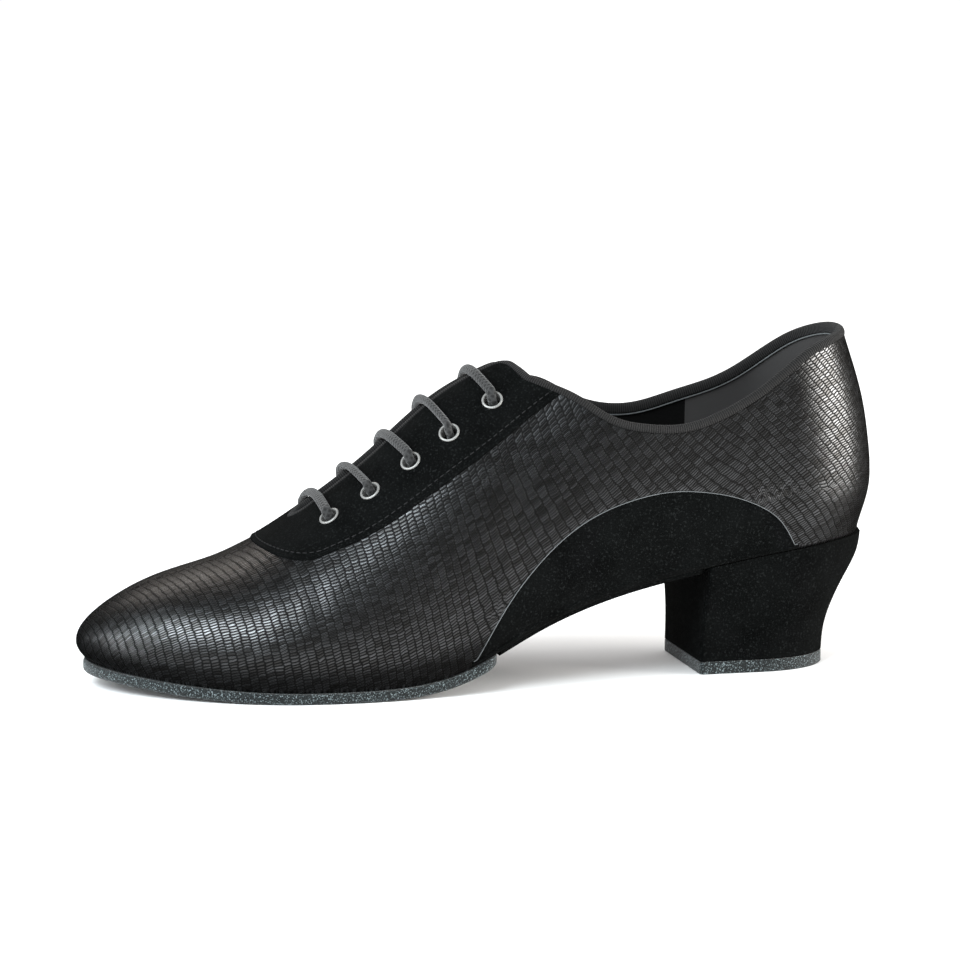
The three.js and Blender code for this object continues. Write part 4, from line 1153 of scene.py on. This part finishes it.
def make_binding():
    stops = [*STATIONS[STATIONS < THROAT_FRONT - 1e-6], THROAT_FRONT]
    at = np.array(stops + stops[1:-1][::-1])
    outer = np.zeros(len(at), bool)
    outer[:len(stops)] = True
    top = np.where(outer, top_girth(np.minimum(at, THROAT_FRONT - 1e-7), "outer"),
                   top_girth(np.minimum(at, THROAT_FRONT - 1e-7), "inner"))
    top[at >= THROAT_FRONT] = girth_of_offset(THROAT_FRONT, THROAT_MIDDLE)
    ring = np.where(outer, ring_of(at), -ring_of(at))
    line = last_offset(ring, top, np.full(at.shape, BEAD_MIDDLE))
    normal = last_normal(ring, top)
    closed = np.concatenate([line, line[:1]])
    run = np.concatenate([[0], np.cumsum(np.linalg.norm(np.diff(closed, axis=0), axis=-1))])
    count = 900
    want = np.linspace(0, run[-1], count, endpoint=False)
    wrapped = np.concatenate([normal, normal[:1]])
    path = np.stack([np.interp(want, run, closed[:, c]) for c in range(3)], -1)
    out = unit(np.stack([np.interp(want, run, wrapped[:, c]) for c in range(3)], -1))
    for unused in range(6):
        path = (np.roll(path, 1, 0) + 2 * path + np.roll(path, -1, 0)) / 4
        out = unit(np.roll(out, 1, 0) + 2 * out + np.roll(out, -1, 0))
    along = unit(np.roll(path, -3, 0) - np.roll(path, 3, 0))
    up = unit(np.cross(along, out))
    out = unit(np.cross(up, along))
    rings = np.stack([path + out * a + up * b for a, b in TAPE], 1)
    cols = len(TAPE)
    points = rings.reshape(-1, 3)
    faces = lattice(count, cols, 0, False, True, True)
    around = np.concatenate([[0], np.cumsum(np.linalg.norm(np.diff(np.array(TAPE + TAPE[:1]), axis=0), axis=1))])
    step = run[-1] / count
    loops = []
    for i in range(count):
        for j in range(cols):
            a = (i * step, around[j])
            b = ((i + 1) * step, around[j])
            c = ((i + 1) * step, around[j + 1])
            d = (i * step, around[j + 1])
            loops.append([a, b, c, d])
    edge = []
    for turn in np.arange(8) * math.pi / 4:
        edge.append(path + out * (EDGE_OUT + EDGE_RADIUS * math.cos(turn)) + up * (EDGE_UP + EDGE_RADIUS * math.sin(turn)))
    cord = np.stack(edge, 1).reshape(-1, 3)
    build("lining_edge", cord, lattice(count, len(edge), 0, False, True, True), [CUT], None, None, 60)
    return build("collar_tape", points, faces, [RIBBON], loops, None, 70, ["collar_binding"])


def make_arch_edges():
    """Thin cut edge of the leather over each arch panel."""
    at = np.linspace(ARCH_BACK + 0.002, ARCH_FRONT - 0.002, 260)
    shape = [(CUT_RADIUS * math.cos(w), CUT_RADIUS * math.sin(w)) for w in np.arange(6) * math.pi / 3]
    for which, sign in (("outer", 1), ("inner", -1)):
        ring = ring_of(at) * sign
        girth, unused = arch_border(at, ring)
        path = last_offset(ring, girth, np.full(at.shape, 0.02))
        rings = carried_rings(path, shape, last_normal(ring[:1], girth[:1])[0])
        faces, loops = tube(rings, 0)
        build(f"arch_edge_{which}", rings.reshape(-1, 3), faces, [CUT], loops, None, 60)


# Tongue
def make_tongue():
    at = np.concatenate([[0.472, 0.473, 0.475, 0.478], np.linspace(0.484, 0.765, 60)])
    half = 0.2 * BALL_WIDTH * np.minimum(1, 0.5 + (at - 0.472) * 9)
    share = np.linspace(-1, 1, 34)
    low = girth_of_offset(at, THROAT_MIDDLE - half)
    high = girth_of_offset(at, THROAT_MIDDLE + half)
    girth = low[:, None] + (high - low)[:, None] * (share[None, :] + 1) / 2
    ring = ring_of(at)
    outer = last_offset(ring[:, None], girth, np.full(girth.shape, -3.3))
    inner = last_offset(ring[:, None], girth, np.full(girth.shape, -4.6))
    return closed_sheet("tongue_suede", outer, inner, [BLACK_SUEDE], ["tongue"])


# Eyelets and lace
def make_eyelets():
    base = EYESTAY_PROUD - 0.12
    profile = [
        (RING_HOLE, -3.2), (RING_HOLE + 0.14, -3.2), (RING_HOLE + 0.16, base - 0.1), (RING_OUT - 0.05, base),
        (RING_OUT, base + 0.12), (RING_OUT - 0.08, base + 0.30), (RING_OUT - 0.28, base + 0.43),
        (RING_HOLE + 0.22, base + 0.46), (RING_HOLE + 0.06, base + 0.34), (RING_HOLE, base + 0.12),
    ]
    sides = 40
    points = []
    faces = []
    for unused, one, two in SEATS:
        for place in (one, two):
            other = np.cross(place["normal"], place["towards"])
            start = sum(len(p) for p in points)
            for k in range(sides):
                w = 2 * math.pi * k / sides
                radial = place["towards"] * math.cos(w) + other * math.sin(w)
                points.append(np.array([place["point"] + radial * r + place["normal"] * h for r, h in profile]))
            faces += lattice(sides, len(profile), start, False, True, True)
    names = [f"eyelet_{which}_{k + 1}" for k in range(len(SEATS)) for which in ("outer", "inner")]
    return build("eyelet_rings", np.concatenate(points), faces, [NICKEL], None, None, 50, names)


BAR_LEAN = [0.001, 0.007, 0.0105, 0.0115, 0.0115]


def bar_path(at, lean, one, two):
    """From inside one eyelet over the facings to inside the other."""
    rise = EYESTAY_PROUD + LACE_FLAT

    def mouth(place):
        return [
            place["point"] + place["towards"] * run + place["normal"] * high
            for run, high in [(0.10, -3.6), (0.15, -1.4), (0.40, 0.2), (1.25, 1.35), (2.9, rise + 0.05)]
        ]

    middle = []
    for v in (0.24, 0.36, 0.48, 0.6, 0.72, 0.80):
        girth = one["girth"] + (two["girth"] - one["girth"]) * v
        ring = ring_of(at + lean * math.sin(math.pi * v))
        middle.append(last_offset(ring, np.float64(girth), np.float64(rise + 0.05)))
    return [*mouth(one), *middle, *mouth(two)[::-1]]


def under_run(one, two):
    """Hidden run from the mouth of one eyelet to the next on the same side."""
    a = one["point"] - one["normal"] * 4.1
    b = two["point"] - two["normal"] * 4.1
    return [a + (b - a) * v - (one["normal"] + two["normal"]) * 0.15 for v in (0.2, 0.5, 0.8)]


def make_lace():
    route = []
    for k, (at, one, two) in enumerate(SEATS):
        bar = bar_path(at, BAR_LEAN[k], one, two)
        if k % 2:
            bar = bar[::-1]
        route += bar
        if k + 1 < len(SEATS):
            side = 1 if k % 2 else 2
            route += under_run(SEATS[k][side], SEATS[k + 1][side])
    path = smooth_path(route, 1100)
    shape = [(LACE_FLAT * math.cos(w), LACE_RADIUS * math.sin(w)) for w in np.arange(16) * math.pi / 8]
    rings = carried_rings(path, shape, SEATS[0][1]["towards"])
    faces, loops = tube(rings, 0)
    names = [f"lace_bar_{k + 1}" for k in range(len(SEATS))]
    return build("lace_run", rings.reshape(-1, 3), faces, [LACE], loops, None, 70, names)


# Sole, insole, waist and heel
def outline_rings(stations, insets, heights, ends):
    rings = []
    for inset, height in zip(insets, heights):
        side_points = []
        for which in (1, -1):
            ring = ring_of(stations) * which
            x, y = foot_line(ring, inset(stations))
            side_points.append(np.stack([x, y, height(level_at(ring, x))], -1))
        parts = [side_points[0]]
        if "toe" in ends:
            x, y = foot_line(np.float64(1), inset(np.float64(1)))
            parts.append(np.array([[x, y, height(level_at(np.float64(1), x))]]))
        parts.append(side_points[1][::-1])
        if "heel" in ends:
            x, y = foot_line(np.float64(0), inset(np.float64(0)))
            parts.append(np.array([[x, y, height(level_at(np.float64(0), x))]]))
        rings.append(np.concatenate(parts))
    return np.array(rings)


SOLE_BACK = 0.505
SOLE_ROUND = 0.026
SOLE_OVER = 0.25


def bridged(name, rings, materials, replaces, toe_point=True, heel_point=False, sharp=40):
    """Like stacked, but the two caps are ladders across the outline, so that they follow its level."""
    rows, n = rings.shape[:2]
    points = rings.reshape(-1, 3)
    faces = lattice(rows, n, 0, False, False, True)
    far = n - 1 - (1 if heel_point else 0)
    top = (rows - 1) * n
    k = 0
    while k < far - k:
        a, b, c, d = k, far - k, far - k - 1, k + 1
        if d == c:
            faces.append([a, d, b])
            faces.append([top + a, top + b, top + d])
        elif d < c:
            faces.append([a, d, c, b])
            faces.append([top + a, top + b, top + c, top + d])
        k += 1
    if heel_point:
        faces.append([n - 1, 0, n - 2])
        faces.append([top + n - 1, top + n - 2, top])
    loops = [[(points[v, 0], points[v, 1] + points[v, 2]) for v in face] for face in faces]
    return build(name, points, faces, materials, loops, None, sharp, replaces)


def make_outsole():
    arc = [SOLE_BACK + SOLE_ROUND * (1 - math.cos(w)) for w in np.linspace(0, math.pi / 2, 12)]
    stations = np.array([*arc, *STATIONS[(STATIONS > SOLE_BACK + SOLE_ROUND + 0.004) & (STATIONS < 1)]])

    def corner(at):
        share = np.clip((SOLE_BACK + SOLE_ROUND - at) / SOLE_ROUND, 0, 1)
        return SOLE_ROUND * LENGTH * (1 - np.sqrt(1 - share * share))

    def inset(extra):
        return lambda at: corner(at) - SOLE_OVER + extra

    def bottom(z):
        return np.maximum(0, z - GAP - SOLE_THICK)

    insets = [inset(0.9), inset(0.45), inset(0.12), inset(0.0), inset(0.0), inset(0.1), inset(0.5)]
    heights = [
        bottom, lambda z: bottom(z) + 0.08, lambda z: bottom(z) + 0.4, lambda z: bottom(z) + 0.9,
        lambda z: z - GAP - 0.7, lambda z: z - GAP - 0.2, lambda z: z - GAP + 0.1,
    ]
    rings = outline_rings(stations, insets, heights, ["toe"])
    return bridged("outsole_suede", rings, [SPLIT], ["outsole"], sharp=60)


def make_insole():
    stations = STATIONS[(STATIONS > 0) & (STATIONS < 1)]
    inset = WALL + 1.1
    insets = [lambda at: inset + 0 * at, lambda at: inset + 0 * at, lambda at: inset + 0.6 + 0 * at]
    heights = [lambda z: z + WALL + GAP, lambda z: z + WALL + GAP + 1.6, lambda z: z + WALL + GAP + 2.0]
    rings = outline_rings(stations, insets, heights, ["toe", "heel"])
    return bridged("insole_sock", rings, [LINING], ["insole"], True, True, 60)


def make_waist():
    stations = np.linspace(0.2425, 0.5025, 60)
    turn = lambda at: section["turn"](at) * BALL_WIDTH
    insets = [
        lambda at: turn(at) + 1.8, lambda at: turn(at) + 0.7, lambda at: turn(at) + 0.5,
        lambda at: turn(at) + 0.5,
    ]
    heights = [lambda z: z - GAP - 1.6, lambda z: z - GAP - 1.2, lambda z: z - GAP - 0.6, lambda z: z - 0.05]
    rings = outline_rings(stations, insets, heights, [])
    return bridged("waist_suede", rings, [BLACK_SUEDE], ["waist_cover"], False, False, 60)


HEEL_CORNER = 1.3


def heel_ring(share, height, inset=0.0):
    back = heel["back"](share) + inset / LENGTH
    front = heel["front"](share) - inset / LENGTH
    half = heel["half"](share) * BALL_WIDTH - inset
    round_end = heel["round"](share)
    corner = HEEL_CORNER / LENGTH
    bend = np.linspace(0, math.pi / 2, 7)
    side = 1 - (1 - np.cos(np.linspace(0, math.pi / 2, 44)))
    at = back + (front - corner - back) * side
    y = half * closing((round_end - (at - back)) / round_end, 2.1)
    y = np.where(at >= front - corner - 1e-9, half, y)
    corner_at = front - corner + corner * np.cos(bend)
    corner_y = half - HEEL_CORNER + HEEL_CORNER * np.sin(bend)
    at = np.concatenate([corner_at, at[1:]])
    y = np.concatenate([corner_y, y[1:]])
    y[-1] = 0
    outer = np.stack([LENGTH / 2 - at * LENGTH, -y, height(at)], -1)
    inner = np.stack([LENGTH / 2 - at * LENGTH, y, height(at)], -1)[::-1][1:]
    return np.concatenate([outer, inner])


def make_heel():
    low = TOP_PIECE + 0.02
    shares = np.concatenate([[0.0, 0.006], np.linspace(0.02, 1, 26)])
    rings = []
    for share in shares:
        inset = 0.25 if share == 0 else 0.0
        rings.append(heel_ring(share, lambda at: low + (seat(at) - 0.05 - low) * share, inset))
    return bridged("heel_block_suede", np.array(rings), [BLACK_SUEDE], ["heel"], False, False, 35)


def make_top_piece():
    rings = [
        heel_ring(0, lambda at: 0 * at, 0.5), heel_ring(0, lambda at: 0.12 + 0 * at, 0.1),
        heel_ring(0, lambda at: 0.5 + 0 * at, 0.0), heel_ring(0, lambda at: TOP_PIECE - 0.5 + 0 * at, 0.0),
        heel_ring(0, lambda at: TOP_PIECE - 0.1 + 0 * at, 0.06),
        heel_ring(0, lambda at: TOP_PIECE + 0 * at, 0.3),
    ]
    return bridged("heel_top_suede", np.array(rings), [SPLIT], ["heel_top_piece"], False, False, 35)


# Back strip over the heel seam
STRIP_HALF = 4.5
STRIP_PROUD = 0.55


def make_back_strip():
    tall = np.linspace(0, 1, 60)[:, None]
    side = np.linspace(-1, 1, 25)[None, :]
    z_low = seat(0.0) + 0.8
    z_high = collar["outer"](0.0) * INSTEP_HEIGHT - 0.4
    z = z_low + (z_high - z_low) * tall + 0 * side
    target = STRIP_HALF * (0.82 + 0.18 * tall) * np.abs(side)
    turn = np.where(side <= 0, 1.0, -1.0) + 0 * tall
    low = np.zeros(z.shape)
    high = np.full(z.shape, 0.2)
    for unused in range(22):
        mid = (low + high) / 2
        ring = mid * turn
        reach = np.abs(last_point(ring, girth_of_height(ring, z))[..., 1])
        low = np.where(reach < target, mid, low)
        high = np.where(reach < target, high, mid)
    ring = (low + high) / 2 * turn
    girth = girth_of_height(ring, z)
    rise = STRIP_PROUD * (1 - np.abs(side) ** 10) - 0.05 + 0 * tall
    points = last_offset(ring, girth, rise)
    base = last_offset(ring, girth, np.full(z.shape, -0.25))
    return closed_sheet("back_strip", points, base, [LIZARD], (), True, 50)


make_upper()
make_eyestay()
make_arch("outer")
make_arch("inner")
make_stitches()
make_binding()
make_arch_edges()
make_tongue()
make_eyelets()
make_lace()
make_outsole()
make_insole()
make_waist()
make_heel()
make_top_piece()
make_back_strip()


# Floor, light and camera
def make_floor():
    mesh = bpy.data.meshes.new("floor")
    far = 6.0
    mesh.from_pydata([(-far, -far, 0), (far, -far, 0), (far, far, 0), (-far, far, 0)], [], [(0, 1, 2, 3)])
    floor = bpy.data.objects.new("floor", mesh)
    t = Tree("floor_white")
    mesh.materials.append(t.surface((0.9, 0.9, 0.9), 0.9, None, Specular_IOR_Level=0.0))
    bpy.context.scene.collection.objects.link(floor)
    floor.visible_glossy = False
    return floor


def add_light(name, place, target, size, power, color=(1, 1, 1)):
    data = bpy.data.lights.new(name, "AREA")
    data.shape = "RECTANGLE"
    data.size, data.size_y = size
    data.energy = power
    data.color = color
    lamp = bpy.data.objects.new(name, data)
    lamp.location = place
    lamp.rotation_euler = (Vector(target) - Vector(place)).to_track_quat("-Z", "Y").to_euler()
    bpy.context.scene.collection.objects.link(lamp)
    return lamp


make_floor()
world = bpy.data.worlds.new("studio")
bpy.context.scene.world = world
world.use_nodes = True
world.node_tree.nodes["Background"].inputs[0].default_value = (1, 1, 1, 1)
world.node_tree.nodes["Background"].inputs[1].default_value = 1.12
world.cycles_visibility.glossy = False
add_light("key", (-1.00, -0.74, 1.02), (-0.03, 0, 0.05), (1.1, 0.75), 31, (0.88, 0.96, 1.0))
add_light("right_side", (1.22, -0.42, 0.26), (0.05, 0, 0.05), (0.8, 0.6), 24, (1.0, 0.97, 0.92))
add_light("behind", (0.0, 1.5, 1.1), (0, 0, 0.05), (1.2, 0.4), 5.5, (1.0, 0.92, 0.85))
add_light("left_side", (-1.4, -0.2, 0.45), (0, 0, 0.05), (0.6, 0.6), 9, (0.95, 0.98, 1.0))
table = add_light("table", (0.0, -0.34, 0.003), (0.0, -0.34, 1.0), (1.2, 0.56), 2.4)
table.visible_camera = False

CAMERA_TURN = math.radians(-14)
CAMERA_RISE = math.radians(9)
CAMERA_ROLL = math.radians(0.3)
CAMERA_FAR = 1.25
FOCAL_PIXELS = 4052
FRAME_PIXELS = 960
SENSOR = 36.0
AIM = Vector((-0.2 - MIDDLE[0], -MIDDLE[1], 60.3)) * MM


def make_camera():
    data = bpy.data.cameras.new("camera")
    data.sensor_fit = "HORIZONTAL"
    data.sensor_width = SENSOR
    data.lens = FOCAL_PIXELS / FRAME_PIXELS * SENSOR
    data.clip_start = 0.05
    data.clip_end = 50
    camera = bpy.data.objects.new("camera", data)
    bpy.context.scene.collection.objects.link(camera)
    back = Vector((
        math.sin(CAMERA_TURN) * math.cos(CAMERA_RISE),
        -math.cos(CAMERA_TURN) * math.cos(CAMERA_RISE),
        math.sin(CAMERA_RISE),
    ))
    camera.location = AIM + back * CAMERA_FAR
    turn = (-back).to_track_quat("-Z", "Y").to_matrix().to_4x4()
    from mathutils import Matrix
    turn = turn @ Matrix.Rotation(CAMERA_ROLL, 4, "Z")
    camera.matrix_world = Matrix.Translation(camera.location) @ turn
    bpy.context.scene.camera = camera


make_camera()
bpy.context.scene.view_settings.view_transform = "Standard"
